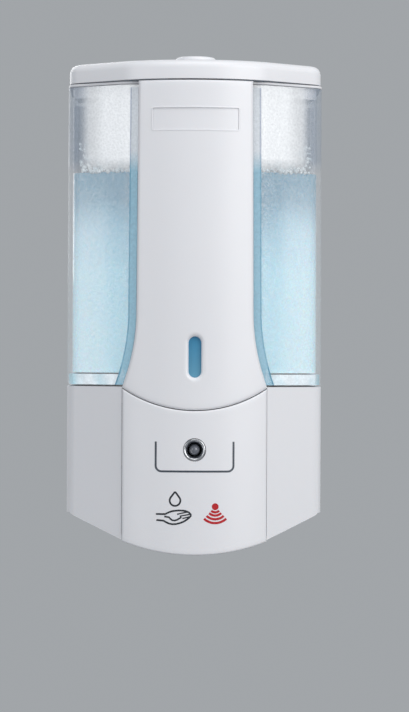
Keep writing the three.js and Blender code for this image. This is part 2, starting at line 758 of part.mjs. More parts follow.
function lidButton() {
  const top = lidTopZ + buttonProud;
  const flangeTop = lidRoofZ - gap;
  const low = flangeTop - buttonFlange;
  const inside = buttonRadius - 1.6;
  const edge = 1.6;
  const outline = [[inside, low], [buttonRadius + 1.2, low], [buttonRadius + 1.2, flangeTop]];
  outline.push([buttonRadius, flangeTop]);
  for (let step = 0; step <= 4; step += 1) {
    const angle = (Math.PI / 2) * (step / 4);
    outline.push([buttonRadius - edge + edge * Math.cos(angle), top - edge + edge * Math.sin(angle)]);
  }
  outline.push([0, top], [0, top - buttonRoof], [inside, top - buttonRoof], [inside, low]);
  const points = outline.map(([r, z]) => new THREE.Vector2(r, z));
  return solid(new THREE.LatheGeometry(points, 24).rotateX(Math.PI / 2)).translate([0, buttonY, 0]);
}

// Coil spring standing along Z, made as a round wire swept along a helix.
function coilSpring({ radius, wire, low, high, turns, steps, sides = 5 }) {
  const points = Array.from({ length: steps + 1 }, (_, i) => {
    const angle = (2 * Math.PI * turns * i) / steps;
    const rise = low + wire + ((high - low - 2 * wire) * i) / steps;
    return new THREE.Vector3(radius * Math.cos(angle), radius * Math.sin(angle), rise);
  });
  const path = new THREE.CatmullRomCurve3(points);
  const section = shapeOf(circle(wire, sides));
  return new THREE.ExtrudeGeometry(section, { steps, bevelEnabled: false, extrudePath: path });
}

function buttonSpring() {
  const spring = coilSpring({
    radius: 5,
    wire: 0.4,
    low: lidLowZ + cupFloor + gap,
    high: lidTopZ + buttonProud - buttonRoof - buttonTravel - gap,
    turns: 3,
    steps: 36,
  });
  return solid(spring.translate(0, buttonY, 0));
}

function hingePin(side) {
  const reach = lugWidth / 2 + runGap + earWidth;
  return rod('x', hingePinRadius, side * lugX - reach, side * lugX + reach, [hingeY, hingeZ], 14);
}

// ---------------------------------------------------------------- batteries and their box

const boxLowHeight = doorHingeHeight + doorBarrel + 0.5;
const lowCellHeight = boxLowHeight + 2 * gap + cellRadius;
const highCellHeight = lowCellHeight + cellPitch;
const boxTopHeight = highCellHeight + cellRadius + gap + boxWall;
const cellPlaces = [highCellHeight, lowCellHeight].flatMap((height) => (
  [cellBackY, cellFrontY].map((y) => [y, up(height)])
));
const cellShift = contactInnerX - gap - nubLength - cellLength / 2; // towards the end with the nub
const nubRadius = 2.6;

function batteryBox() {
  const heights = [up(boxLowHeight), up(boxTopHeight)];
  const outside = box([-boxHalfX, boxHalfX], [bayBackY - gap, boxFrontY], heights);
  const inside = box(
    [boxWall - boxHalfX, boxHalfX - boxWall],
    [bayBackY - gap - boxWall, boxFrontY + boxWall],
    [up(boxLowHeight) - 1, up(boxTopHeight - boxWall)],
  );
  return cut(outside, inside);
}

// A cell lies along X; turn is 1 or -1, because neighbours point opposite ways.
function batteryCell([y, z], turn) {
  const flatEnd = turn * (cellShift - cellLength / 2);
  const nubEnd = turn * (cellShift + cellLength / 2);
  const can = rod('x', cellRadius, flatEnd, nubEnd, [y, z], 20);
  return join(can, rod('x', nubRadius, nubEnd - turn, nubEnd + turn * nubLength, [y, z], 10));
}

function contactPlate(side) {
  const [outside, inside] = [side * contactX, side * contactInnerX];
  const ys = [cellBackY + cellRadius - 1, cellFrontY - cellRadius + 1];
  const zs = [up(lowCellHeight) - cellRadius + 1, up(highCellHeight) + cellRadius - 1];
  const plate = box([outside, inside], ys, zs);
  // A slot between the two rows of cells keeps the strip springy.
  const middle = (cellBackY + cellFrontY) / 2;
  return cut(plate, box([outside - 1, outside + 1], [middle + 0.6, middle - 0.6], [zs[0] + 4, zs[1] - 4]));
}

// Spring between a cell's flat end and the contact plate.
function batterySpring([y, z], turn) {
  const spring = coilSpring({
    radius: 3.4,
    wire: 0.35,
    low: cellLength / 2 - cellShift + gap,
    high: contactInnerX - gap,
    turns: 2.5,
    steps: 24,
  });
  return solid(spring.rotateY(-turn * (Math.PI / 2)).translate(0, y, z));
}

function batteryDoor() {
  const low = up(chinHeight);
  const top = low + wall - gap;
  const plate = box([-doorX, doorX], [doorHingeY, doorFrontY], [low, top]);
  const barrel = rod('x', doorBarrel, -doorX, doorX, [doorHingeY, up(doorHingeHeight)], 16);
  const reach = doorX + doorPinLength;
  const pins = rod('x', doorPinRadius, -reach, reach, [doorHingeY, up(doorHingeHeight)], 12);
  const grip = box([-8, 8], [doorFrontY - 1, doorFrontY + 2.4], [low - 1, low + 0.9]);
  return cut(join(plate, barrel, pins), grip);
}

// ---------------------------------------------------------------- gears and motor

const pumpWall = 2;
const pumpOuter = trackRadius + hoseRadius + gap + pumpWall;
const pumpClear = 1.6;          // from the pump to the screw bosses beside it
const pumpX = bossRadius + pumpClear + pumpOuter - bossX;
const gearModule = 0.8;
const outputTeeth = 36;
const idlerSmallTeeth = 12;
const idlerBigTeeth = 30;
const pinionTeeth = 10;
const plateY = spigotY - 9.5;
const plateThickness = 2;
const plateFrontY = plateY - plateThickness;
const gearWidth = 3;
const bigGearWidth = 2.4;
const idlerStep = 4.6;
const shaftRadius = 2;
const idlerAxle = 1.5;
const pinionBore = 1;
const motorRadius = 10;
const motorFlat = 7.8;
const motorLength = 21;
const noseRadius = 3;
const shaftInside = 6;
const pitchRadius = (teeth) => (teeth * gearModule) / 2;
const idlerX = pumpX + pitchRadius(outputTeeth) + pitchRadius(idlerSmallTeeth);
const motorX = idlerX + pitchRadius(idlerBigTeeth) + pitchRadius(pinionTeeth);
const motorCentre = [motorX, up(pumpHeight)];
const outputY = plateFrontY - 1.2;
const bigGearY = outputY - idlerStep;

// Gear outline in X and Z with straight-sided teeth, thinned for a free running mesh.
function gearOutline(teeth, toothAt) {
  const pitch = pitchRadius(teeth);
  const step = (2 * Math.PI) / teeth;
  const root = pitch - 1.1 * gearModule;
  const crest = pitch + 0.75 * gearModule;
  const rootHalf = 0.3 * step;
  const crestHalf = 0.09 * step;
  const points = [];
  for (let tooth = 0; tooth < teeth; tooth += 1) {
    const middle = toothAt + tooth * step;
    const around = [[root, -rootHalf], [crest, -crestHalf], [crest, crestHalf], [root, rootHalf]];
    for (const [radius, turn] of around) {
      points.push([radius * Math.cos(middle + turn), radius * Math.sin(middle + turn)]);
    }
  }
  return points;
}

function gearAt(x, teeth, toothAt, yBack, width, bore) {
  const wheel = prismY(gearOutline(teeth, toothAt), yBack, yBack - width);
  const hole = rod('y', bore, yBack + 1, yBack - width - 1, [0, 0], 14);
  return cut(wheel, hole).translate([x, 0, up(pumpHeight)]);
}

function outputGear() {
  const face = outputY - gearWidth;
  const wheel = gearAt(pumpX, outputTeeth, 0, outputY, gearWidth, shaftRadius + gap);
  const dish = rod('y', pitchRadius(outputTeeth) - 4.9, face + 1, face - 1, [pumpX, up(pumpHeight)], 24);
  const hub = rod('y', shaftRadius + 2.5, outputY - 1, face - 1, [pumpX, up(pumpHeight)], 20);
  const bore = rod('y', shaftRadius + gap, outputY, face - 2, [pumpX, up(pumpHeight)], 14);
  return cut(join(cut(wheel, dish), hub), bore);
}

function idlerGear() {
  // Facing the output gear the small gear shows a gap, facing the pinion the big one shows a tooth.
  const smallStep = (2 * Math.PI) / idlerSmallTeeth;
  const bore = idlerAxle + gap;
  const small = gearAt(idlerX, idlerSmallTeeth, Math.PI + smallStep / 2, outputY, idlerStep + 0.5, bore);
  return join(small, gearAt(idlerX, idlerBigTeeth, 0, bigGearY, bigGearWidth, bore));
}

function motorPinion() {
  const step = (2 * Math.PI) / pinionTeeth;
  const width = bigGearWidth + 1;
  return gearAt(motorX, pinionTeeth, Math.PI + step / 2, bigGearY + 0.5, width, pinionBore + gap);
}

const motorBackY = plateY + gap + motorLength;

function motor() {
  const can = rod('y', motorRadius, motorBackY, plateY + gap, motorCentre, 20);
  const flats = box(
    [motorX - motorRadius, motorX + motorRadius],
    [motorBackY + 1, plateY - 1],
    [up(pumpHeight) - motorFlat, up(pumpHeight) + motorFlat],
  );
  const nose = rod('y', noseRadius, plateY + 1, plateY - 1.4, motorCentre, 18);
  const tail = rod('y', noseRadius, motorBackY + 1.2, motorBackY - 1, motorCentre, 18);
  const bearing = rod('y', pinionBore + gap, plateY + shaftInside + gap, plateY - 2, motorCentre, 12);
  return cut(join(can.intersect(flats), nose, tail), bearing);
}

function motorShaft() {
  return rod('y', pinionBore, plateY + shaftInside, bigGearY - 2.6, motorCentre, 12);
}

function gearPlate() {
  const xs = [pumpX - pumpOuter - 2 * gap, motorX + motorRadius + 6];
  const foot = up(chinHeight + wall + gap);
  const upright = box(xs, [plateY, plateFrontY], [foot, up(pumpHeight + 20)]);
  const flange = box(xs, [plateY, plateFrontY - 4], [foot, foot + 2]);
  const stud = rod('y', idlerAxle, plateFrontY + 0.5, bigGearY - 3.2, [idlerX, up(pumpHeight)], 12);
  const shaftHole = rod('y', shaftRadius + runGap, plateY + 1, plateFrontY - 1, [pumpX, up(pumpHeight)], 16);
  const noseHole = rod('y', noseRadius + gap, plateY + 1, plateFrontY - 1, motorCentre, 18);
  return cut(join(upright, flange, stud), shaftHole, noseHole);
}

// ---------------------------------------------------------------- peristaltic pump

const rollerRadius = 3;
const rollerCount = 3;
const rollerLength = 6;
const rollerBore = 1.5;
const discThickness = 1.2;
const pumpCoverThickness = 1.6;
const pumpCentre = [pumpX, up(pumpHeight)];
const rollerOrbit = trackRadius - hoseRadius - runGap - rollerRadius;
const rotorDisc = rollerOrbit + rollerRadius - 0.6;
const rotorHalf = rollerLength / 2 + gap;
const pumpHalf = rotorHalf + discThickness + runGap;
const pumpBackY = spigotY + pumpHalf + pumpWall;
const pumpFrontY = spigotY - pumpHalf;
const pumpCoverFrontY = pumpFrontY - gap - pumpCoverThickness;
const pumpMouthX = -hoseRadius - 4;

// Round chamber that opens towards +X, as an outline in X and Z around the pump's centre.
function chamberOutline(radius, mouthX) {
  const points = [];
  const steps = 16;
  for (let step = 0; step <= steps; step += 1) {
    const angle = Math.PI / 2 + (Math.PI * step) / steps;
    points.push([pumpX + radius * Math.cos(angle), up(pumpHeight) + radius * Math.sin(angle)]);
  }
  points.push([mouthX, up(pumpHeight) - radius], [mouthX, up(pumpHeight) + radius]);
  return points;
}

function pumpHousing() {
  const outside = prismY(chamberOutline(pumpOuter, pumpMouthX), pumpBackY, pumpFrontY);
  const hollow = chamberOutline(pumpOuter - pumpWall, pumpMouthX + 1);
  const chamber = prismY(hollow, pumpBackY - pumpWall, pumpFrontY - 1);
  const bearing = rod('y', shaftRadius + gap, pumpBackY - pumpWall - 1, pumpBackY - 1, pumpCentre, 14);
  return cut(outside, chamber, bearing.translate([0, 0.8, 0]));
}

function pumpCover() {
  const lidPlate = prismY(chamberOutline(pumpOuter, pumpMouthX), pumpFrontY - gap, pumpCoverFrontY);
  return cut(lidPlate, rod('y', shaftRadius + gap, pumpFrontY + 1, pumpCoverFrontY - 1, pumpCentre, 14));
}

function rollerCentre(index) {
  const angle = Math.PI / 2 + (2 * Math.PI * index) / rollerCount;
  return [pumpX + rollerOrbit * Math.cos(angle), up(pumpHeight) + rollerOrbit * Math.sin(angle)];
}

// Shaft, back disc and the pins that the rollers turn on.
function pumpRotor() {
  const back = spigotY + rotorHalf;
  const shaft = rod('y', shaftRadius, back + discThickness + 1.4, outputY - gearWidth - 1.6, pumpCentre, 14);
  const disc = rod('y', rotorDisc, back + discThickness, back, pumpCentre, 20);
  const hubRadius = rollerOrbit - rollerRadius - 0.7;
  const hub = rod('y', hubRadius, back + 0.1, spigotY - rotorHalf + gap, pumpCentre, 18);
  let rotor = join(shaft, disc, hub);
  const pinEnd = spigotY - rotorHalf - discThickness + 0.2;
  for (let i = 0; i < rollerCount; i += 1) {
    rotor = join(rotor, rod('y', rollerBore - gap, back + 0.1, pinEnd, rollerCentre(i), 12));
  }
  return rotor;
}

function rotorCap() {
  const back = spigotY - rotorHalf;
  let disc = rod('y', rotorDisc, back, back - discThickness, pumpCentre, 20);
  disc = cut(disc, rod('y', shaftRadius + gap, back + 1, back - discThickness - 1, pumpCentre, 14));
  for (let i = 0; i < rollerCount; i += 1) {
    disc = cut(disc, rod('y', rollerBore, back + 1, back - discThickness - 1, rollerCentre(i), 12));
  }
  return disc;
}

function pumpRoller(index) {
  const ends = [spigotY + rollerLength / 2, spigotY - rollerLength / 2];
  const tyre = rod('y', rollerRadius, ends[0], ends[1], rollerCentre(index), 18);
  return cut(tyre, rod('y', rollerBore, ends[0] + 1, ends[1] - 1, rollerCentre(index), 12));
}

// Soft hose from the tank's outlet, around the pump and down to the nozzle, in one plane.
const nozzleTopHeight = pumpHeight - trackRadius - hoseBend - 0.8;
const hoseSides = 8;

function pumpHose() {
  const route = [];
  const place = (x, z) => route.push(new THREE.Vector3(x, spigotY, z));
  const turn = (x, z, radius, from, to, steps) => {
    for (let step = 0; step <= steps; step += 1) {
      const angle = from + ((to - from) * step) / steps;
      place(x + radius * Math.cos(angle), z + radius * Math.sin(angle));
    }
  };
  const high = up(pumpHeight) + trackRadius;
  const low = up(pumpHeight) - trackRadius;
  place(0, spigotLowZ + hoseSocket);
  turn(-hoseBend, high + hoseBend, hoseBend, 0, -Math.PI / 2, 5);
  turn(pumpX, up(pumpHeight), trackRadius, Math.PI / 2, (3 * Math.PI) / 2, 14);
  turn(-hoseBend, low - hoseBend, hoseBend, Math.PI / 2, 0, 5);
  place(0, up(nozzleTopHeight) - hoseSocket);
  const path = new THREE.CurvePath();
  for (let i = 1; i < route.length; i += 1) path.add(new THREE.LineCurve3(route[i - 1], route[i]));
  const section = shapeOf(circle(hoseRadius, hoseSides));
  section.holes.push(new THREE.Path(circle(hoseBore, hoseSides).map(([a, b]) => new THREE.Vector2(a, b))));
  return solid(new THREE.ExtrudeGeometry(section, { steps: 36, bevelEnabled: false, extrudePath: path }));
}

function nozzle() {
  const top = up(nozzleTopHeight);
  const seat = up(chinHeight + wall + gap);
  const socketFloor = top - hoseSocket - gap;
  const tip = up(chinHeight - 6);
  const bore = 1.1;
  const profile = [
    [bore, tip],
    [2.4, tip],
    [3, tip + 1],
    [nozzleBarrelRadius, seat - wall - gap],
    [nozzleBarrelRadius, seat],
    [nozzleBarrelRadius + 2.2, seat],
    [nozzleBarrelRadius + 2.2, seat + 1.6],
    [nozzleBarrelRadius, seat + 1.6],
    [nozzleBarrelRadius, top],
    [hoseRadius + gap, top],
    [hoseRadius + gap, socketFloor],
    [bore, socketFloor],
    [bore, tip],
  ];
  const points = profile.map(([r, z]) => new THREE.Vector2(r, z));
  return solid(new THREE.LatheGeometry(points, 16).rotateX(Math.PI / 2)).translate([0, spigotY, 0]);
}

// ---------------------------------------------------------------- electronics

const boardY = 16 - bodyDepth;
const boardThickness = 1.6;
const boardHalfX = seamX - 4.5;
const boardLowHeight = 30;
const boardTopHeight = 60;
const ledRadius = 2.5;
const ledFlange = 3;

function mainBoard() {
  const sides = [up(boardLowHeight), up(boardTopHeight)];
  let board = box([-boardHalfX, boardHalfX], [boardY, boardY - boardThickness], sides);
  // Blocks for the controller, a capacitor and the lead connector.
  const chipHeights = [up(boardLowHeight + 8), up(boardLowHeight + 16)];
  const chip = box([-16, -8], [boardY + 1.6, boardY - 0.5], chipHeights);
  const can = rod('y', 3.2, boardY + 3, boardY - 0.5, [-22, up(boardTopHeight - 6)], 16);
  const header = box([14, 24], [boardY + 3, boardY - 0.5], [up(boardTopHeight - 7), up(boardTopHeight - 2)]);
  board = join(board, chip, can, header);
  for (const x of [-boardHalfX + 3, boardHalfX - 3]) {
    const place = [x, up(boardLowHeight + 3)];
    board = cut(board, rod('y', 1.3, boardY + 1, boardY - boardThickness - 1, place, 12));
  }
  return board;
}

function statusLed() {
  const back = boardY - boardThickness - gap;
  const tip = 1.2 - bodyDepth;
  const domeSteps = 5;
  const outline = [[0, 0], [ledFlange, 0], [ledFlange, 1], [ledRadius, 1]];
  for (let step = 0; step < domeSteps; step += 1) {
    const angle = (Math.PI / 2) * (step / domeSteps);
    outline.push([ledRadius * Math.cos(angle), back - tip - ledRadius + ledRadius * Math.sin(angle)]);
  }
  outline.push([0, back - tip]);
  const points = outline.map(([r, z]) => new THREE.Vector2(r, z));
  const lens = new THREE.LatheGeometry(points, 14).rotateX(Math.PI);
  return solid(lens.translate(0, back, up(bezelHeight)));
}

// Countersunk metal ring around the lamp.
function ledBezel() {
  const front = -bodyDepth;
  const back = front + 7;
  const outline = [
    [ledRadius + gap, 0],
    [bezelBarrel, 0],
    [bezelBarrel, 7 - bezelFlange + gap],
    [bezelRadius, 7 - bezelFlange + gap],
    [bezelRadius, 7 - gap],
    [bezelRadius - 0.5, 7],
    [bezelRadius - 1.5, 7],
    [ledRadius + gap + 0.3, 5],
    [ledRadius + gap, 5],
    [ledRadius + gap, 0],
  ];
  const points = outline.map(([r, z]) => new THREE.Vector2(r, z));
  return solid(new THREE.LatheGeometry(points, 20).rotateX(Math.PI).translate(0, back, up(bezelHeight)));
}

function sensorWindow() {
  const [x, y] = [windowWidth / 2, windowLength / 2];
  const edge = 1.4;
  const lens = rectangle(-x, x, -y, y, y - flatLeft);
  const rim = rectangle(-x - edge, x + edge, -y - edge, y + edge, y + 1);
  return onChin(join(prismZ(lens, 0, wall + gap + 0.2), prismZ(rim, wall + gap, wall + gap + 1)));
}

// The infrared lamp and its eye stand behind the window, square to it.
function sensorDiode(x) {
  const low = wall + 1.3 + 2 * gap;
  const dome = new THREE.SphereGeometry(ledRadius, 10, 6).rotateX(Math.PI / 2);
  dome.translate(x, 0, low + ledRadius);
  const body = rod('z', ledRadius, low + ledRadius, low + 7, [x, 0], 10);
  const foot = rod('z', ledFlange, low + 6, low + 7, [x, 0], 12);
  return onChin(join(solid(dome), body, foot));
}

const diodeX = 6;
const switchBodyHalf = 8;

function switchBody() {
  const low = up(chinHeight + wall + gap);
  const middle = switchX + switchTravel / 2;
  const sides = [middle - switchBodyHalf, middle + switchBodyHalf];
  const body = box(sides, [switchY - 4, switchY + 4], [low, low + 6]);
  const channel = box(
    [switchX - knobLength / 2 - gap, switchX + switchTravel + knobLength / 2 + gap],
    [switchY - knobWidth / 2 - gap, switchY + knobWidth / 2 + gap],
    [low - 1, low + 3.4],
  );
  return cut(body, channel);
}

function switchKnob() {
  const top = up(chinHeight + wall + gap + 3);
  const low = up(chinHeight - 1.2);
  const xs = [switchX - knobLength / 2, switchX + knobLength / 2];
  let knob = box(xs, [switchY - knobWidth / 2, switchY + knobWidth / 2], [low, top]);
  for (const x of [-1.6, 0, 1.6]) {
    const groove = [switchX + x - 0.35, switchX + x + 0.35];
    knob = cut(knob, box(groove, [switchY - 3, switchY + 3], [low - 1, low + 0.5]));
  }
  return knob;
}

// ---------------------------------------------------------------- the assembly

add('wall_bracket', wallBracket(), 'whiteShell');
add('rear_housing', rearHousing(), 'whiteShell');
add('base_cover', baseCover(), 'whiteShell');
bossPlaces.forEach((place, i) => add(`base_screw_${i + 1}`, baseScrew(place), 'steel'));
add('lower_front_panel', lowerFrontPanel(), 'whiteShell');
add('front_column', frontColumn(), 'whiteShell');
add('tank', tank(), 'clearTank');
add('liquid_soap', liquidSoap(), 'soap');
add('tank_seal', tankSeal(), 'greySeal');
add('tank_collar', tankCollar(), 'whiteShell');
add('lid', lid(), 'whiteShell');
add('lid_button', lidButton(), 'whiteShell');
add('button_spring', buttonSpring(), 'steel');
add('hinge_pin_left', hingePin(-1), 'steel');
add('hinge_pin_right', hingePin(1), 'steel');

add('battery_box', batteryBox(), 'darkPlastic');
cellPlaces.forEach((place, i) => {
  const turn = i % 2 === 0 ? 1 : -1;
  add(`battery_${i + 1}`, batteryCell(place, turn), 'cell');
  add(`battery_spring_${i + 1}`, batterySpring(place, turn), 'steel');
});
add('contact_plate_left', contactPlate(-1), 'steel');
add('contact_plate_right', contactPlate(1), 'steel');
add('battery_door', batteryDoor(), 'whiteShell');

add('gear_plate', gearPlate(), 'darkPlastic');
add('motor', motor(), 'steel');
add('motor_shaft', motorShaft(), 'steel');
add('motor_pinion', motorPinion(), 'gearNylon');
add('idler_gear', idlerGear(), 'gearNylon');
add('output_gear', outputGear(), 'gearNylon');
add('pump_housing', pumpHousing(), 'darkPlastic');
add('pump_cover', pumpCover(), 'darkPlastic');
add('pump_rotor', pumpRotor(), 'gearNylon');
add('rotor_cap', rotorCap(), 'gearNylon');
for (let i = 0; i < rollerCount; i += 1) add(`pump_roller_${i + 1}`, pumpRoller(i), 'steel');
add('pump_hose', pumpHose(), 'silicone');
add('nozzle', nozzle(), 'darkPlastic');

add('main_board', mainBoard(), 'board');
add('status_led', statusLed(), 'ledLens');
add('led_bezel', ledBezel(), 'chrome');
add('sensor_window', sensorWindow(), 'smokedLens');
add('infrared_emitter', sensorDiode(-diodeX), 'ledLens');
add('infrared_receiver', sensorDiode(diodeX), 'darkPlastic');
add('power_switch', switchBody(), 'darkPlastic');
add('switch_knob', switchKnob(), 'darkPlastic');

export default group;
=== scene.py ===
# Touch-free wall soap dispenser: the looks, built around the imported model. Metres, front towards -Y.
import bmesh
import bpy
import math
import random
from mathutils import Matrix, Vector


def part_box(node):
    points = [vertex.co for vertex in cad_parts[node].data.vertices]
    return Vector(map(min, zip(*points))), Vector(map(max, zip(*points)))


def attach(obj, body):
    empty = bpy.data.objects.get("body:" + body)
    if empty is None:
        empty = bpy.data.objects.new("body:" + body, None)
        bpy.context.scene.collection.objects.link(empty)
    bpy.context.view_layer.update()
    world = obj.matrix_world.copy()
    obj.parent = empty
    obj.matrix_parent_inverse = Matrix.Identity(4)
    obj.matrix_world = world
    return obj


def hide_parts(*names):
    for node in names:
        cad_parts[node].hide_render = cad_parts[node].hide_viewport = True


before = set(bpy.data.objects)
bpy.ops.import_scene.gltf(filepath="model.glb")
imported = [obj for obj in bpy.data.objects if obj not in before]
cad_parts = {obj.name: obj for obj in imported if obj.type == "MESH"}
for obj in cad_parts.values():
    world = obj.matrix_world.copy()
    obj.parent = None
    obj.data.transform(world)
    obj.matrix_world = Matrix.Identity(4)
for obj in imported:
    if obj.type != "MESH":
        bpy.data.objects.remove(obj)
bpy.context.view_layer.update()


# ---- Camera. A long lens level with the lower part of the tank, about 1.2 m in front of the dispenser.
# The lid is seen a little from below, and nothing of the underside shows.
low_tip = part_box("lower_front_panel")[0].z
front_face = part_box("lower_front_panel")[0].y
eye_height = low_tip + 0.0858
eye_distance = 1.19
camera_data = bpy.data.cameras.new("camera")
camera_data.sensor_fit = "VERTICAL"
camera_data.sensor_height = 0.036 * 1000
camera_data.lens = 140
camera_data.clip_start = 0.05
camera = bpy.data.objects.new("camera", camera_data)
eye_side = -0.012
aim_side = 0.0041
turned_right = math.atan2(aim_side - eye_side, eye_distance)
camera.location = (eye_side, front_face - eye_distance, eye_height)
camera.rotation_euler = (math.radians(90), math.radians(-0.25), -turned_right)
bpy.context.scene.collection.objects.link(camera)
bpy.context.scene.camera = camera


# ---- Studio. A pale painted floor 2 m below the dispenser, and pale air round it.
# The main soft box stands to the right, weaker ones fill the left and top, and one lights the back.
def link(piece):
    bpy.context.scene.collection.objects.link(piece)
    return piece


def new_material(name, roughness=0.4, metallic=0.0, colour=(0.8, 0.8, 0.8)):
    material = bpy.data.materials.new(name)
    material.use_nodes = True
    shader = material.node_tree.nodes["Principled BSDF"]
    shader.inputs["Roughness"].default_value = roughness
    shader.inputs["Metallic"].default_value = metallic
    shader.inputs["Base Color"].default_value = (*colour, 1)
    return material, material.node_tree, shader


def add_node(tree, kind, **inputs):
    node = tree.nodes.new(kind)
    for name, value in inputs.items():
        node.inputs[name.replace("_", " ")].default_value = value
    return node


def object_noise(tree, scale, detail=3.0, roughness=0.55):
    """Noise fixed to the piece, in metres."""
    place = tree.nodes.new("ShaderNodeTexCoord")
    noise = add_node(tree, "ShaderNodeTexNoise", Scale=scale, Detail=detail, Roughness=roughness)
    tree.links.new(place.outputs["Object"], noise.inputs["Vector"])
    return noise.outputs["Fac"]


def ranged(tree, source, source_low, source_high, low, high):
    """The source stretched from its own range to another."""
    span = add_node(tree, "ShaderNodeMapRange")
    for i, value in enumerate((source_low, source_high, low, high)):
        span.inputs[i + 1].default_value = value
    tree.links.new(source, span.inputs[0])
    return span.outputs[0]


def between(tree, source, low, high, socket, source_low=0.3, source_high=0.7):
    """Drives a socket from low to high by a 0..1 source."""
    tree.links.new(ranged(tree, source, source_low, source_high, low, high), socket)


def two_tone(tree, source, dark, light, socket, low=0.35, high=0.65):
    ramp = tree.nodes.new("ShaderNodeValToRGB")
    ramp.color_ramp.elements[0].position = low
    ramp.color_ramp.elements[0].color = (*dark, 1)
    ramp.color_ramp.elements[1].position = high
    ramp.color_ramp.elements[1].color = (*light, 1)
    tree.links.new(source, ramp.inputs["Fac"])
    tree.links.new(ramp.outputs["Color"], socket)


def raise_bumps(tree, shader, source, height, strength=1.0):
    bump = add_node(tree, "ShaderNodeBump", Strength=strength, Distance=height)
    tree.links.new(source, bump.inputs["Height"])
    tree.links.new(bump.outputs["Normal"], shader.inputs["Normal"])
    return bump


def flat_sheet(name, corners, material):
    mesh = bpy.data.meshes.new(name)
    mesh.from_pydata(corners, [], [(0, 1, 2, 3)])
    sheet = link(bpy.data.objects.new(name, mesh))
    mesh.materials.append(material)
    return sheet


plaster, plaster_tree, plaster_shader = new_material("pale_paint", 0.85)
two_tone(plaster_tree, object_noise(plaster_tree, 6), (0.60, 0.61, 0.62), (0.64, 0.645, 0.65),
         plaster_shader.inputs["Base Color"])
raise_bumps(plaster_tree, plaster_shader, object_noise(plaster_tree, 900), 0.0002, 0.3)
floor_z = low_tip - 2.0
room = 6.0
flat_sheet("studio_floor", [(-room, -room, floor_z), (room, -room, floor_z), (room, room, floor_z),
                            (-room, room, floor_z)], plaster)


def soft_box(name, place, aim, size, power, tint=(1, 1, 1)):
    data = bpy.data.lights.new(name, "AREA")
    data.shape = "RECTANGLE"
    data.size, data.size_y = size
    data.energy = power
    data.color = tint
    lamp = link(bpy.data.objects.new(name, data))
    lamp.location = place
    direction = Vector(aim) - Vector(place)
    lamp.rotation_euler = direction.to_track_quat("-Z", "Y").to_euler()
    return lamp


middle = (0, -0.05, 0)
soft_box("key_box", (0.78, -0.85, 0.35), middle, (0.8, 1.0), 8.7, (1, 0.99, 0.985))
soft_box("fill_box", (-0.85, -0.75, 0.10), middle, (0.4, 0.9), 2.6, (0.98, 0.98, 1))
soft_box("top_box", (0.05, -0.45, 0.95), middle, (0.8, 0.5), 3.0)
soft_box("back_box", (-0.55, 0.95, 0.45), middle, (0.9, 0.9), 5.0)
world = bpy.data.worlds.new("studio_air")
world.use_nodes = True
world.node_tree.nodes["Background"].inputs["Color"].default_value = (0.80, 0.84, 0.88, 1)
world.node_tree.nodes["Background"].inputs["Strength"].default_value = 0.45
bpy.context.scene.world = world
bpy.context.scene.view_settings.view_transform = "Standard"


# ---- Wall bracket. A flat white moulding screwed to the wall, with four upturned hooks.
# The dispenser's back plate drops over the hooks and lifts off upwards.
def white_moulding(name, shade=1.0, sheen_roughness=0.34):
    """Injection moulded ABS: cool white, fine spark-eroded grain, faint flow marks and finger wear."""
    material, tree, shader = new_material(name, sheen_roughness)
    dark = tuple(shade * c for c in (0.787, 0.790, 0.817))
    light = tuple(shade * c for c in (0.797, 0.800, 0.827))
    two_tone(tree, object_noise(tree, 18, 4), dark, light, shader.inputs["Base Color"])
    between(tree, object_noise(tree, 60, 5), sheen_roughness - 0.01, sheen_roughness + 0.04,
            shader.inputs["Roughness"])
    raise_bumps(tree, shader, object_noise(tree, 2600, 2), 0.000012, 0.5)
    shader.inputs["IOR"].default_value = 1.52
    shader.inputs["Subsurface Weight"].default_value = 0.08
    shader.inputs["Subsurface Radius"].default_value = (0.002, 0.0016, 0.0014)
    return material


def smooth_edges(piece, angle=32):
    """Smooth shading inside each face, with true edges kept crisp."""
    mesh = piece.data
    work = bmesh.new()
    work.from_mesh(mesh)
    for face in work.faces:
        face.smooth = True
    for edge in work.edges:
        sharp = len(edge.link_faces) == 2 and edge.calc_face_angle(0) > math.radians(angle)
        edge.smooth = not sharp
    work.to_mesh(mesh)
    work.free()


def apply_all(piece):
    """Turns a piece with modifiers into the plain mesh that they make."""
    graph = bpy.context.evaluated_depsgraph_get()
    made = bpy.data.meshes.new_from_object(piece.evaluated_get(graph))
    piece.modifiers.clear()
    piece.data = made
    return piece


def finished(node, edge, material, body, segments=2, speck=0.00012):
    """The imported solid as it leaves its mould: welded, its edges broken by a small radius, smooth shaded."""
    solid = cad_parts[node]
    piece = link(bpy.data.objects.new(node + "_finished", solid.data.copy()))
    work = bmesh.new()
    work.from_mesh(piece.data)
    bmesh.ops.remove_doubles(work, verts=work.verts, dist=2e-6)
    bmesh.ops.dissolve_degenerate(work, dist=speck, edges=work.edges)
    bmesh.ops.dissolve_limit(work, angle_limit=math.radians(0.6), verts=work.verts, edges=work.edges)
    bmesh.ops.triangulate(work, faces=[face for face in work.faces if len(face.verts) > 4])
    work.to_mesh(piece.data)
    work.free()
    rounding = piece.modifiers.new("edges", "BEVEL")
    rounding.width = edge
    rounding.segments = segments
    rounding.limit_method = "ANGLE"
    rounding.angle_limit = math.radians(32)
    apply_all(piece)
    smooth_edges(piece, 50)
    weight = piece.modifiers.new("face_weight", "WEIGHTED_NORMAL")
    weight.keep_sharp = True
    apply_all(piece)
    piece.data.materials.clear()
    piece.data.materials.append(material)
    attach(piece, body)
    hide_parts(node)
    return piece


hidden_white = white_moulding("white_moulding_back", 0.97, 0.38)
finished("wall_bracket", 0.0004, hidden_white, "bracket")


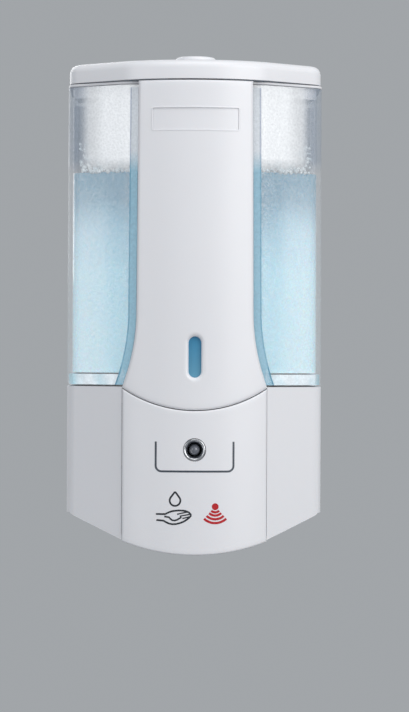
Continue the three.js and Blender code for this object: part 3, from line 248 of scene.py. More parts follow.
# ---- Rear housing. One white ABS moulding: the spine behind the tank, the deck under it and the
# two wings of the lower body, with hinge lugs at the top.
shell_white = white_moulding("white_moulding")
finished("rear_housing", 0.0004, shell_white, "dispenser")


# ---- Base cover. A white moulded floor that closes the lower body, held by four steel screws.
# It carries the switch slot, the nozzle hole and the battery opening.
def bright_steel(name, roughness=0.28, colour=(0.58, 0.59, 0.61)):
    """Nickel plated steel with fine turning marks and dull spots."""
    material, tree, shader = new_material(name, roughness, 1.0, colour)
    dark = tuple(0.86 * c for c in colour)
    two_tone(tree, object_noise(tree, 320, 4), dark, colour, shader.inputs["Base Color"])
    between(tree, object_noise(tree, 900, 3), roughness - 0.08, roughness + 0.12, shader.inputs["Roughness"])
    raise_bumps(tree, shader, object_noise(tree, 5200, 2), 0.00001, 0.4)
    return material


finished("base_cover", 0.0003, shell_white, "dispenser")
screw_steel = bright_steel("screw_steel")
for number in range(1, 5):
    finished(f"base_screw_{number}", 0.00015, screw_steel, "dispenser")


# ---- Battery box and door. A black ABS box behind the base cover holds four cells, and a white
# door on two pins closes it from below.
def black_moulding(name, colour=(0.022, 0.024, 0.027), roughness=0.45):
    """Black ABS with a fine matt grain and paler scuffs."""
    material, tree, shader = new_material(name, roughness, 0.0, colour)
    scuffed = tuple(c * 1.6 for c in colour)
    two_tone(tree, object_noise(tree, 140, 5), colour, scuffed, shader.inputs["Base Color"], 0.45, 0.75)
    between(tree, object_noise(tree, 90, 4), roughness - 0.08, roughness + 0.12, shader.inputs["Roughness"])
    raise_bumps(tree, shader, object_noise(tree, 3800, 2), 0.00002, 0.5)
    return material


box_black = black_moulding("black_moulding")
finished("battery_box", 0.0003, box_black, "dispenser")
finished("battery_door", 0.0003, shell_white, "battery_door")


# ---- Cells. Four AA cells in printed sleeves without any lettering, a band of copper colour at one
# end, held between coil springs and nickel plated contact strips.
def object_axes(tree):
    """Where a point lies on its piece, in metres: the sockets X, Y and Z."""
    place = tree.nodes.new("ShaderNodeTexCoord")
    split = tree.nodes.new("ShaderNodeSeparateXYZ")
    tree.links.new(place.outputs["Object"], split.inputs[0])
    return split.outputs


def cell_sleeve(name, turn):
    """Shrink sleeve, dark along the can with a copper coloured band at the positive end."""
    material, tree, shader = new_material(name, 0.3, 0.35)
    band = tree.nodes.new("ShaderNodeMath")
    band.operation = "MULTIPLY"
    band.inputs[1].default_value = turn
    tree.links.new(object_axes(tree)["X"], band.inputs[0])
    wobble = object_noise(tree, 260, 2)
    mixed = tree.nodes.new("ShaderNodeMath")
    mixed.operation = "MULTIPLY_ADD"
    mixed.inputs[1].default_value = 0.0004
    tree.links.new(wobble, mixed.inputs[0])
    tree.links.new(band.outputs[0], mixed.inputs[2])
    two_tone(tree, mixed.outputs[0], (0.035, 0.042, 0.05), (0.55, 0.27, 0.10), shader.inputs["Base Color"],
             0.0118, 0.0122)
    between(tree, object_noise(tree, 700, 3), 0.22, 0.42, shader.inputs["Roughness"])
    raise_bumps(tree, shader, object_noise(tree, 900, 2), 0.00002, 0.35)
    return material


sleeves = {1: cell_sleeve("cell_sleeve_right", 1), -1: cell_sleeve("cell_sleeve_left", -1)}
contact_nickel = bright_steel("contact_nickel", 0.22, (0.64, 0.62, 0.58))
for number in range(1, 5):
    turn = 1 if number % 2 else -1
    finished(f"battery_{number}", 0.0004, sleeves[turn], "dispenser", 3)
    finished(f"battery_spring_{number}", 0.00005, contact_nickel, "dispenser", 1, 0.00002)
for side in ("left", "right"):
    finished(f"contact_plate_{side}", 0.0001, contact_nickel, "dispenser", 1)


# ---- Tank. A clear styrene moulding with a pebbled inside, thick in the floor, with a spigot that
# drops through the deck into a rubber ring. Beside the column its front steps down to a shoulder,
# and a pale block of light stands in its thick floor.
tank_low, tank_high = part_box("tank")
tank_half = tank_high.x
soap_low, soap_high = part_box("liquid_soap")
seam_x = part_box("front_column")[1].x
bulge = 0.009
drum_radius = (seam_x ** 2 + bulge ** 2) / (2 * bulge)
drum_y = front_face + drum_radius
tank_seam_y = front_face + bulge + 0.0026
tank_wing_y = front_face + 0.028
column_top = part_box("front_column")[1].z
column_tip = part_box("front_column")[0].z
tip_sag = 0.0096
tip_radius = (seam_x ** 2 + tip_sag ** 2) / (2 * tip_sag)
flare_end = column_tip + tip_sag
flare_start = flare_end + 0.033
column_half_top = 0.0247
column_half_middle = 0.0253


def front_at(x, inset=0.0):
    """Y of the body's curved front, inset towards the wall."""
    radius = drum_radius - inset
    return drum_y - math.sqrt(radius * radius - x * x)


def column_half(z):
    """Half width of the front column at one height."""
    if z > flare_start:
        share = (z - flare_start) / (column_top - flare_start)
        return column_half_middle + (column_half_top - column_half_middle) * share
    share = min(1.0, max(0.0, (z - flare_end) / (flare_start - flare_end)))
    return column_half_middle + (seam_x - column_half_middle) * (1 - share) ** 2


def tank_front(x):
    """Y of the tank's front at one X: an arc in the middle, then a flat wing."""
    x = abs(x)
    if x > seam_x:
        share = (x - seam_x) / (tank_half - seam_x)
        return tank_seam_y + (tank_wing_y - tank_seam_y) * share
    rise = tank_seam_y - tank_low.y
    radius = (seam_x ** 2 + rise ** 2) / (2 * rise)
    return tank_low.y + radius - math.sqrt(radius ** 2 - x * x)


def ringed(name, rings, endless=False):
    """Closed solid through rings of equally many points: the end rings are filled, or joined if endless."""
    count = len(rings[0])
    points = [p for ring in rings for p in ring]
    last = len(rings) - 1
    faces = []
    for r in range(len(rings) if endless else last):
        after = (r + 1) % len(rings)
        for i in range(count):
            j = (i + 1) % count
            faces.append((r * count + i, r * count + j, after * count + j, after * count + i))
    if not endless:
        faces += [tuple(reversed(range(count))), tuple(last * count + i for i in range(count))]
    mesh = bpy.data.meshes.new(name)
    mesh.from_pydata(points, [], faces)
    work = bmesh.new()
    work.from_mesh(mesh)
    bmesh.ops.recalc_face_normals(work, faces=work.faces)
    work.to_mesh(mesh)
    work.free()
    return link(bpy.data.objects.new(name, mesh))


def settle(piece, material, body, angle=38):
    """Gives a new piece its shading, its material and the body it rides on."""
    smooth_edges(piece, angle)
    piece.data.materials.append(material)
    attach(piece, body)
    return piece


ramp_reach = 0.06


def side_share(tree, stops):
    """0..1 across the width, the same on both sides: stops are (distance from the middle, value)."""
    axes = object_axes(tree)
    across = tree.nodes.new("ShaderNodeMath")
    across.operation = "ABSOLUTE"
    tree.links.new(axes["X"], across.inputs[0])
    share = tree.nodes.new("ShaderNodeMath")
    share.operation = "DIVIDE"
    share.inputs[1].default_value = ramp_reach
    tree.links.new(across.outputs[0], share.inputs[0])
    ramp = tree.nodes.new("ShaderNodeValToRGB")
    ramp.color_ramp.interpolation = "EASE"
    levels = ramp.color_ramp.elements
    levels[0].position, levels[1].position = stops[0][0] / ramp_reach, stops[-1][0] / ramp_reach
    levels[0].color = (stops[0][1],) * 3 + (1,)
    levels[1].color = (stops[-1][1],) * 3 + (1,)
    for distance, value in stops[1:-1]:
        levels.new(distance / ramp_reach).color = (value,) * 3 + (1,)
    tree.links.new(share.outputs[0], ramp.inputs["Fac"])
    return ramp.outputs["Color"], axes["Z"]


def calculated(tree, operation, first, second, third=None):
    """One arithmetic node: each term is a socket or a number."""
    node = tree.nodes.new("ShaderNodeMath")
    node.operation = operation
    for place, term in enumerate((first, second, third)):
        if term is None:
            continue
        if isinstance(term, (int, float)):
            node.inputs[place].default_value = term
        else:
            tree.links.new(term, node.inputs[place])
    return node.outputs[0]


def pebbled_clear(name, clearest, cloudiest, colour, band):
    """Clear plastic with a hammered pebble texture, cloudier where the pebbles turn. Above the soap it is
    painted paler in a band across each side as painted light, and a darker blue grey at its outer edges as
    painted shade.
    """
    material, tree, shader = new_material(name, 0.16, 0.0, colour)
    place = tree.nodes.new("ShaderNodeTexCoord")
    pebbles = add_node(tree, "ShaderNodeTexVoronoi", Scale=1000.0)
    pebbles.feature = "SMOOTH_F1"
    tree.links.new(place.outputs["Object"], pebbles.inputs["Vector"])
    mixed = calculated(tree, "MULTIPLY_ADD", object_noise(tree, 2000, 3), 0.6, pebbles.outputs["Distance"])
    raise_bumps(tree, shader, mixed, 0.0002, 0.45)
    # Painted light: above the soap, a band across each side makes the tank more opaque and pale, standing in
    # for light refracted through the thick walls.
    glow, height = side_share(tree, [(0.024, 0.75), (0.030, 1.0), (0.038, 1.0), (0.046, 0.5), (0.051, 0.15),
                                     (0.056, 0.3)])
    # Painted shade: above the soap, the outer edges turn a darker blue grey.
    edge = side_share(tree, [(0.045, 0.0), (0.053, 1.0)])[0]
    cloud = ranged(tree, mixed, 0.35, 1.0, clearest, cloudiest)
    above = ranged(tree, height, soap_high.z, soap_high.z + 0.006, 0.0, 1.0)
    two_tone(tree, calculated(tree, "MULTIPLY", edge, above), colour, (0.46, 0.53, 0.62),
             shader.inputs["Base Color"], 0.0, 1.0)
    strength = calculated(tree, "MULTIPLY", above, band)
    cloud_and_painted_glow = calculated(tree, "MULTIPLY_ADD", glow, strength, cloud)
    tree.links.new(cloud_and_painted_glow, shader.inputs["Alpha"])
    between(tree, object_noise(tree, 45, 4), 0.12, 0.26, shader.inputs["Roughness"])
    shader.inputs["IOR"].default_value = 1.5
    return material


# The last number sets how strongly the painted light band shows above the soap.
tank_clear = pebbled_clear("tank_clear", 0.07, 0.20, (0.93, 0.95, 0.97), 0.6)
tank_shell = finished("tank", 0.0006, tank_clear, "dispenser", 3)
shoulder_width = 0.0036
tank_foot = soap_low.z - 0.0052


def shoulder_piece(name, side, near, far, proud, material):
    """A strip of the tank's front beside the column, from one distance off the column to another."""
    rings = []
    rows = 70
    for i in range(rows + 1):
        z = tank_foot + (tank_high.z - tank_foot - 0.0012) * i / rows
        inner, outer = column_half(z) + near, column_half(z) + far
        rings.append([(side * x, tank_front(x) - depth, z) for x, depth in
                      ((inner, proud), (outer, proud), (outer, -0.0002), (inner, -0.0002))])
    return settle(ringed(name, rings), material, "dispenser", 60)


def tinted_clear(name, wet, dry, clearest, cloudiest):
    """The clear moulding seen edge on: it takes the colour of the soap behind it, and is pale above it."""
    material, tree, shader = new_material(name, 0.2, 0, wet)
    level = ranged(tree, object_axes(tree)["Z"], soap_high.z - 0.001, soap_high.z + 0.010, 0.0, 1.0)
    two_tone(tree, level, wet, dry, shader.inputs["Base Color"], 0.1, 0.9)
    between(tree, object_noise(tree, 900), clearest, cloudiest, shader.inputs["Alpha"])
    return material


shoulder_blue = tinted_clear("shoulder_blue", (0.32, 0.58, 0.72), (0.72, 0.77, 0.82), 0.52, 0.66)
# The step line is the same clear strip in darker tones: painted shade along the step.
step_shade_blue = tinted_clear("step_shade_blue", (0.14, 0.36, 0.50), (0.42, 0.47, 0.58), 0.65, 0.85)
shoulders = []
for side, name in ((-1, "left"), (1, "right")):
    strip = (0.0002, shoulder_width - 0.0005, 0.0001)
    shoulders.append(shoulder_piece(f"tank_shoulder_{name}", side, *strip, shoulder_blue))
    line = (shoulder_width - 0.0005, shoulder_width, 0.00025)
    shoulders.append(shoulder_piece(f"tank_step_{name}", side, *line, step_shade_blue))


def tank_ring(z, inset, steps=14):
    """Points around the tank's plan, inset from its walls."""
    back = tank_high.y - inset
    side = tank_half - inset
    wing_back, wing_front = tank_wing_y + 0.005, tank_wing_y - 0.001 + inset
    ring = [(side, back), (-side, back), (-side, wing_back), (0.002 - side, wing_front)]
    for i in range(steps + 1):
        x = seam_x * (2 * i / steps - 1)
        ring.append((x, tank_front(x) + inset * 1.1))
    ring += [(side - 0.002, wing_front), (side, wing_back)]
    return [(x, y, z) for x, y in ring]


floor_glow, glow_tree, glow_shader = new_material("floor_glow", 0.3, 0, (0.62, 0.78, 0.86))
two_tone(glow_tree, object_noise(glow_tree, 70, 2), (0.44, 0.72, 0.82), (0.84, 0.93, 0.98),
         glow_shader.inputs["Base Color"], 0.34, 0.56)
between(glow_tree, object_noise(glow_tree, 300), 0.80, 0.97, glow_shader.inputs["Alpha"])
floor_block = ringed("tank_floor_block", [tank_ring(tank_foot + rise, 0.0007) for rise in
                                          (0.0, 0.0010, 0.0022, 0.0036, 0.0046)])
settle(floor_block, floor_glow, "dispenser", 30)
seal_rubber, seal_tree, seal_shader = new_material("seal_rubber", 0.75, 0, (0.10, 0.105, 0.11))
two_tone(seal_tree, object_noise(seal_tree, 400), (0.09, 0.095, 0.10), (0.13, 0.135, 0.14),
         seal_shader.inputs["Base Color"])
raise_bumps(seal_tree, seal_shader, object_noise(seal_tree, 2400), 0.00003)
finished("tank_seal", 0.0002, seal_rubber, "dispenser")


# ---- Liquid soap. Pale blue hand soap that fills the tank to three quarters, painted paler in a band where
# light comes through it and painted darker just under its surface as shade. Froth clings above its level.
soap_blue, soap_tree, soap_shader = new_material("soap_blue", 0.12)
soap_light_band, soap_height = side_share(soap_tree, [(0.024, 0.0), (0.034, 0.15), (0.043, 0.85), (0.048, 1.0),
                                                (0.056, 0.6)])
soap_depth = ranged(soap_tree, soap_height, soap_low.z, soap_high.z, 0.0, 1.0)
soap_cloud = calculated(soap_tree, "MULTIPLY_ADD", object_noise(soap_tree, 40, 4), 0.16, soap_depth)
soap_ramp = soap_tree.nodes.new("ShaderNodeValToRGB")
# Painted shade: the colours darken from the soap's pale blue at its foot towards its surface.
soap_tones_and_painted_shade = [(0.08, (0.46, 0.75, 0.85)), (0.58, (0.40, 0.69, 0.80)), (0.78, (0.27, 0.52, 0.65)),
              (0.93, (0.10, 0.28, 0.40))]
soap_colours = soap_ramp.color_ramp.elements
soap_colours[0].position, soap_colours[1].position = soap_tones_and_painted_shade[0][0], soap_tones_and_painted_shade[3][0]
soap_colours[0].color, soap_colours[1].color = (*soap_tones_and_painted_shade[0][1], 1), (*soap_tones_and_painted_shade[3][1], 1)
for position, colour in soap_tones_and_painted_shade[1:3]:
    soap_colours.new(position).color = (*colour, 1)
soap_tree.links.new(soap_cloud, soap_ramp.inputs["Fac"])
soap_mix = soap_tree.nodes.new("ShaderNodeMix")
soap_mix.data_type = "RGBA"
soap_fade = ranged(soap_tree, soap_depth, 0.70, 0.95, 0.55, 0.12)
soap_share = calculated(soap_tree, "MULTIPLY", soap_light_band, soap_fade)
soap_tree.links.new(soap_share, soap_mix.inputs["Factor"])
soap_tree.links.new(soap_ramp.outputs["Color"], soap_mix.inputs["A"])
soap_mix.inputs["B"].default_value = (0.80, 0.91, 0.95, 1)
soap_tree.links.new(soap_mix.outputs["Result"], soap_shader.inputs["Base Color"])
soap_shader.inputs["IOR"].default_value = 1.36
soap_shader.inputs["Subsurface Weight"].default_value = 0.5
soap_shader.inputs["Subsurface Radius"].default_value = (0.006, 0.012, 0.016)
raise_bumps(soap_tree, soap_shader, object_noise(soap_tree, 160, 3), 0.0004, 0.15)
soap_body = finished("liquid_soap", 0.0008, soap_blue, "dispenser", 3)

froth_white, froth_tree, froth_shader = new_material("froth_white", 0.2, 0, (0.80, 0.87, 0.90))
two_tone(froth_tree, object_noise(froth_tree, 240, 4), (0.66, 0.77, 0.83), (0.92, 0.95, 0.96),
         froth_shader.inputs["Base Color"])
between(froth_tree, object_noise(froth_tree, 620, 4), 0.35, 0.85, froth_shader.inputs["Alpha"])
raise_bumps(froth_tree, froth_shader, object_noise(froth_tree, 900, 3), 0.0004, 0.9)
random.seed(11)
bubbles = bmesh.new()
for side in (-1, 1):
    for i in range(150):
        x = random.uniform(0.0275, 0.0505)
        climb = random.random() ** 1.6
        z = soap_high.z + 0.0002 + 0.0125 * climb
        radius = random.uniform(0.0004, 0.0011) * (1.25 - 0.5 * climb)
        y = tank_front(x) + 0.0024 + radius * 0.75
        made = bmesh.ops.create_icosphere(bubbles, subdivisions=2, radius=radius)
        bmesh.ops.translate(bubbles, verts=made["verts"], vec=(side * x, y, z))
froth_mesh = bpy.data.meshes.new("soap_froth")
bubbles.to_mesh(froth_mesh)
bubbles.free()
froth = link(bpy.data.objects.new("soap_froth", froth_mesh))
settle(froth, froth_white, "dispenser", 60)

# This lamp, in front and to the left, reaches only the tank and what is in it. It stands in for the
# light that clear plastic passes on.
lit_through = bpy.data.collections.new("lit_through")
for piece in [tank_shell, floor_block, soap_body, froth] + shoulders:
    lit_through.objects.link(piece)
tank_box = soft_box("tank_box", (-0.55, -1.05, 0.30), middle, (0.8, 0.9), 4.3)
tank_box.light_linking.receiver_collection = lit_through


# ---- Pump. A peristaltic pump with a black housing and cover, a nylon rotor and three steel rollers
# that squeeze a silicone hose between the tank and the nozzle.
finished("pump_housing", 0.0003, box_black, "dispenser")
finished("pump_cover", 0.0002, box_black, "dispenser")
finished("nozzle", 0.0002, box_black, "dispenser")
gear_nylon, gear_tree, gear_shader = new_material("gear_nylon", 0.42, 0, (0.74, 0.70, 0.58))
two_tone(gear_tree, object_noise(gear_tree, 200, 4), (0.68, 0.63, 0.50), (0.78, 0.74, 0.62),
         gear_shader.inputs["Base Color"])
between(gear_tree, object_noise(gear_tree, 500), 0.34, 0.52, gear_shader.inputs["Roughness"])
gear_shader.inputs["Subsurface Weight"].default_value = 0.15
gear_shader.inputs["Subsurface Radius"].default_value = (0.002, 0.0015, 0.001)
raise_bumps(gear_tree, gear_shader, object_noise(gear_tree, 3000), 0.00001, 0.5)
for node in ("pump_rotor", "rotor_cap"):
    finished(node, 0.0001, gear_nylon, "rotor", 1)
for number in range(1, 4):
    finished(f"pump_roller_{number}", 0.0002, screw_steel, f"roller_{number}")
hose_clear, hose_tree, hose_shader = new_material("silicone_hose", 0.35, 0, (0.72, 0.71, 0.66))
two_tone(hose_tree, object_noise(hose_tree, 260), (0.66, 0.65, 0.60), (0.76, 0.75, 0.71),
         hose_shader.inputs["Base Color"])
hose_shader.inputs["Alpha"].default_value = 0.85
hose_shader.inputs["Subsurface Weight"].default_value = 0.3
hose_shader.inputs["Subsurface Radius"].default_value = (0.002, 0.002, 0.0018)
raise_bumps(hose_tree, hose_shader, object_noise(hose_tree, 1800), 0.00002, 0.4)
finished("pump_hose", 0.0001, hose_clear, "dispenser", 1)


# ---- Gear train and motor. A small steel-cased motor drives a nylon pinion, a stepped idler and the
# output gear on the pump's shaft, all in front of a black mounting plate.
finished("gear_plate", 0.0003, box_black, "dispenser")
finished("motor", 0.0004, screw_steel, "dispenser")
finished("motor_shaft", 0.0001, screw_steel, "motor_drive", 1)
finished("motor_pinion", 0.00008, gear_nylon, "motor_drive", 1)
finished("idler_gear", 0.00008, gear_nylon, "idler", 1)
finished("output_gear", 0.00008, gear_nylon, "rotor", 1)


# ---- Circuit board. Green glass-fibre board behind the lower front panel, with solder mask over its
# tracks. The status lamp and infrared lamp are clear epoxy painted dark grey as the shade seen inside them,
# and the infrared eye is black epoxy.
board_green, board_tree, board_shader = new_material("board_green", 0.35, 0, (0.02, 0.16, 0.07))
weave = add_node(board_tree, "ShaderNodeTexBrick", Scale=420.0)
board_place = board_tree.nodes.new("ShaderNodeTexCoord")
board_tree.links.new(board_place.outputs["Object"], weave.inputs["Vector"])
weave.inputs["Color1"].default_value = (0.015, 0.14, 0.06, 1)
weave.inputs["Color2"].default_value = (0.02, 0.19, 0.08, 1)
weave.inputs["Mortar"].default_value = (0.03, 0.24, 0.11, 1)
board_tree.links.new(weave.outputs["Color"], board_shader.inputs["Base Color"])
raise_bumps(board_tree, board_shader, object_noise(board_tree, 1500), 0.00002, 0.5)
finished("main_board", 0.0001, board_green, "dispenser", 1)
# Painted shade: the clear lamps are coloured dark grey for the shade seen inside them.
lamp_epoxy_painted_shade, lamp_tree, lamp_shader = new_material("lamp_epoxy_painted_shade", 0.08, 0, (0.12, 0.13, 0.15))
two_tone(lamp_tree, object_noise(lamp_tree, 500), (0.10, 0.11, 0.13), (0.17, 0.18, 0.21),
         lamp_shader.inputs["Base Color"])
between(lamp_tree, object_noise(lamp_tree, 900), 0.05, 0.14, lamp_shader.inputs["Roughness"])
lamp_shader.inputs["Coat Weight"].default_value = 0.6
raise_bumps(lamp_tree, lamp_shader, object_noise(lamp_tree, 700), 0.00002, 0.2)
finished("status_led", 0.0001, lamp_epoxy_painted_shade, "dispenser", 1)
finished("infrared_emitter", 0.0001, lamp_epoxy_painted_shade, "dispenser", 1)
finished("infrared_receiver", 0.0001, box_black, "dispenser", 1)
smoked, smoked_tree, smoked_shader = new_material("smoked_lens", 0.1, 0, (0.02, 0.012, 0.018))
two_tone(smoked_tree, object_noise(smoked_tree, 220), (0.015, 0.010, 0.014), (0.03, 0.018, 0.026),
         smoked_shader.inputs["Base Color"])
between(smoked_tree, object_noise(smoked_tree, 500), 0.06, 0.16, smoked_shader.inputs["Roughness"])
smoked_shader.inputs["Coat Weight"].default_value = 0.5
finished("sensor_window", 0.0003, smoked, "dispenser")


# ---- Power switch. A small black slide switch on the base cover, its ribbed knob reached from below.
# It cuts the battery current.
finished("power_switch", 0.0002, box_black, "dispenser")
finished("switch_knob", 0.00015, box_black, "switch_knob")


# ---- Front column. One curved white moulding in front of the tank, spread at its foot, with a
# shallow blank label field and a slot that shows the soap's level. It snaps onto the lower body.


def tip_arc(x):
    """Height of the column's curved lower end."""
    return column_tip + tip_radius - math.sqrt(tip_radius ** 2 - x * x)


def edge_steps(length, radius, spacing, turns=5):
    """Distances along a line: close together in the round at both ends, even between."""
    near = [radius * (1 - math.cos(math.pi / 2 * i / turns)) for i in range(turns + 1)] if radius else [0.0]
    count = max(2, round((length - 2 * radius) / spacing))
    inner = [radius + (length - 2 * radius) * i / count for i in range(1, count)]
    return near + inner + [length - d for d in reversed(near)]


def curved_panel(name, half_at, bottom_at, top_at, thickness, radius, spacing=0.0018, inset=0.0):
    """A moulded plate that follows the drum of the front, with a round edge all the way round."""
    tall = top_at(0) - bottom_at(0)
    across = [d / 2 for d in edge_steps(2.0, radius / 0.025, spacing / 0.025)]
    upward = [d / tall for d in edge_steps(tall, radius, spacing)]
    columns, rows = len(across), len(upward)
    front, back = [], []
    for v in upward:
        for u in across:
            z = bottom_at(0) + v * tall
            for _ in range(3):
                half = half_at(z)
                x = (2 * u - 1) * half
                z = bottom_at(x) + v * (top_at(x) - bottom_at(x))
            side = radius - min(radius, half - abs(x))
            end = radius - min(radius, z - bottom_at(x), top_at(x) - z)
            setback = radius - math.sqrt(max(0.0, radius ** 2 - side ** 2 - end ** 2))
            front.append((x, front_at(x, inset) + setback, z))
            back.append((x, front_at(x, inset) + max(thickness, setback + 0.0001), z))
    faces = []
    total = len(front)
    for j in range(rows - 1):
        for i in range(columns - 1):
            a = j * columns + i
            faces.append((a, a + 1, a + columns + 1, a + columns))
            faces.append((total + a, total + a + columns, total + a + columns + 1, total + a + 1))
    rim = [i for i in range(columns)]
    rim += [j * columns + columns - 1 for j in range(1, rows)]
    rim += [(rows - 1) * columns + i for i in range(columns - 2, -1, -1)]
    rim += [j * columns for j in range(rows - 2, 0, -1)]
    for a, b in zip(rim, rim[1:] + rim[:1]):
        faces.append((b, a, total + a, total + b))
    mesh = bpy.data.meshes.new(name)
    mesh.from_pydata(front + back, [], faces)
    return link(bpy.data.objects.new(name, mesh))


def cut_out(piece, cutter):
    """Cuts one solid out of another and throws the cutter away."""
    cut = piece.modifiers.new("cut", "BOOLEAN")
    cut.operation = "DIFFERENCE"
    cut.solver = "EXACT"
    cut.object = cutter
    apply_all(piece)
    bpy.data.objects.remove(cutter)


def long_round(width, length, centre_z, y, turns=12):
    """Points of an upright slot with round ends, at one Y."""
    ring = []
    for end in (0, 1):
        middle_z = centre_z + (length - width) / 2 * (-1 if end == 0 else 1)
        for i in range(turns + 1):
            angle = math.pi * (1 + end) + math.pi * i / turns
            ring.append((width / 2 * math.cos(angle), y, middle_z + width / 2 * math.sin(angle)))
    return ring


column = curved_panel("column_finished", column_half, tip_arc, lambda x: column_top, 0.0020, 0.0011)
level_z = low_tip + 0.0853
slot_width, slot_length, slot_bevel, column_wall = 0.0055, 0.0177, 0.0021, 0.0020
funnel = [long_round(slot_width, slot_length, level_z, front_face + 0.006)]
for i in range(9):
    angle = math.pi / 2 * i / 8
    spread = 2 * slot_bevel * (1 - math.cos(angle))
    funnel.append(long_round(slot_width + spread, slot_length + spread, level_z,
                             front_face + column_wall * 0.75 * (1 - math.sin(angle)) + 0.00002))
funnel.append(long_round(slot_width + 2 * slot_bevel, slot_length + 2 * slot_bevel, level_z,
                         front_face - 0.002))
cut_out(column, ringed("slot_cutter", funnel))


# A blue window behind the slot: deepest in tone near its top, paler towards its foot.
window_blue, window_tree, window_shader = new_material("window_blue", 0.14, 0, (0.07, 0.26, 0.40))
window_share = ranged(window_tree, object_axes(window_tree)["Z"], level_z - slot_length / 2,
                      level_z + slot_length / 2, 0.0, 1.0)
two_tone(window_tree, window_share, (0.12, 0.32, 0.46), (0.045, 0.24, 0.42),
         window_shader.inputs["Base Color"], 0.0, 1.0)
between(window_tree, object_noise(window_tree, 500), 0.10, 0.20, window_shader.inputs["Roughness"])
window_rings = []
for width, depth in ((0.0084, 0.00205), (0.0088, 0.0023), (0.0088, 0.0026)):
    window_rings.append(long_round(width, width + slot_length - slot_width, level_z, front_face + depth))
window = ringed("level_window", window_rings)
settle(window, window_blue, "dispenser", 50)

label_half, label_low, label_high, label_depth = 0.01885, low_tip + 0.1830, low_tip + 0.1929, 0.00035
label_cutter = curved_panel("label_cutter", lambda z: label_half, lambda x: label_low, lambda x: label_high,
                            0.002, 0.0, 0.002, label_depth - 0.002)
cut_out(column, label_cutter)


def corner_round(x, z, radius, start, turns=6):
    """Quarter of a circle about (x, z), from one angle in degrees, turning anticlockwise."""
    angles = [math.radians(start + 90 * i / turns) for i in range(turns + 1)]
    return [(x + radius * math.cos(a), z + radius * math.sin(a)) for a in angles]


def drawn_out(path, spacing):
    """The path with points added along its long runs."""
    made = []
    for (x, z), (next_x, next_z) in zip(path, path[1:]):
        count = max(1, round(math.hypot(next_x - x, next_z - z) / spacing))
        made += [(x + (next_x - x) * i / count, z + (next_z - z) * i / count) for i in range(count)]
    return made + [path[-1]]


def front_line(name, path, width, proud, endless=False):
    """A thin raised line that follows the drum of the front along (x, z) points, its sides sloped."""
    path = drawn_out(path, 0.001)
    if endless:
        path = path[:-1]
    sloped = 1200 * proud
    rings = []
    for i, (x, z) in enumerate(path):
        before = path[i - 1] if i or endless else path[0]
        after = path[(i + 1) % len(path)] if i < len(path) - 1 or endless else path[-1]
        run = Vector((after[0] - before[0], after[1] - before[1])).normalized()
        top_share = 0.5 - sloped
        ring = []
        for share, lift in ((0.5, -0.00005), (top_share, proud), (-top_share, proud), (-0.5, -0.00005)):
            edge_x = x - run.y * width * share
            ring.append((edge_x, front_at(edge_x) - lift, z + run.x * width * share))
        rings.append(ring)
    return ringed(name, rings, endless)


rim_round = 0.0008
rim_x, rim_low, rim_high = label_half - rim_round, label_low + rim_round, label_high - rim_round
rim_path = corner_round(rim_x, rim_high, rim_round, 0) + corner_round(-rim_x, rim_high, rim_round, 90)
rim_path += corner_round(-rim_x, rim_low, rim_round, 180) + corner_round(rim_x, rim_low, rim_round, 270)
rim_path.append(rim_path[0])
settle(front_line("label_rim", rim_path, 0.0007, 0.00014, True), shell_white, "dispenser")
smooth_edges(column, 38)
column.data.materials.append(shell_white)
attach(column, "dispenser")


# The column's sides turn back towards the tank as thin flanges.
def column_flange(name, side):
    rows = 60
    rings = []
    for i in range(rows + 1):
        z = flare_end + (column_top - 0.0006 - flare_end) * i / rows
        outer = column_half(z) - 0.0003
        reach = front_at(outer) + 0.0012
        deep = max(tank_front(outer) - 0.0004, reach + 0.0004)
        rings.append([(side * outer, reach, z), (side * outer, deep, z),
                      (side * (outer - 0.0016), deep, z), (side * (outer - 0.0016), reach, z)])
    return ringed(name, rings)


for side, name in ((-1, "column_flange_left"), (1, "column_flange_right")):
    flange = column_flange(name, side)
    smooth_edges(flange, 38)
    flange.data.materials.append(shell_white)
    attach(flange, "dispenser")
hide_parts("front_column")


# ---- Lower front panel. The curved white moulding under the column, snapped between the wings and
# cut at the slant of the chin. It carries the lamp ring and the printed symbols.
under_flat = low_tip + 0.017
chin_run = 0.028
chin_slope = (under_flat - low_tip) / chin_run


def under_at(x):
    """Height where the curved front meets the slanted chin."""
    return low_tip + chin_slope * (front_at(x) - front_face)


panel_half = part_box("lower_front_panel")[1].x
panel_gap = 0.0003
panel = curved_panel("panel_finished", lambda z: panel_half, under_at,
                     lambda x: min(tip_arc(x) - panel_gap, tip_arc(panel_half)), 0.0022, 0.0008, 0.0014)
lamp_z = (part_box("led_bezel")[0].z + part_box("led_bezel")[1].z) / 2
lamp_radius = (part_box("led_bezel")[1].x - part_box("led_bezel")[0].x) / 2


def round_ring(radius, y, z, count=48):
    return [(radius * math.cos(2 * math.pi * i / count), y, z + radius * math.sin(2 * math.pi * i / count))
            for i in range(count)]


seat = lamp_radius + 0.00015
cut_out(panel, ringed("lamp_cutter", [round_ring(seat, front_face + 0.006, lamp_z),
                                      round_ring(seat, front_face + 0.00035, lamp_z),
                                      round_ring(seat + 0.0004, front_face - 0.001, lamp_z)]))
smooth_edges(panel, 38)
panel.data.materials.append(shell_white)
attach(panel, "dispenser")
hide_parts("lower_front_panel")


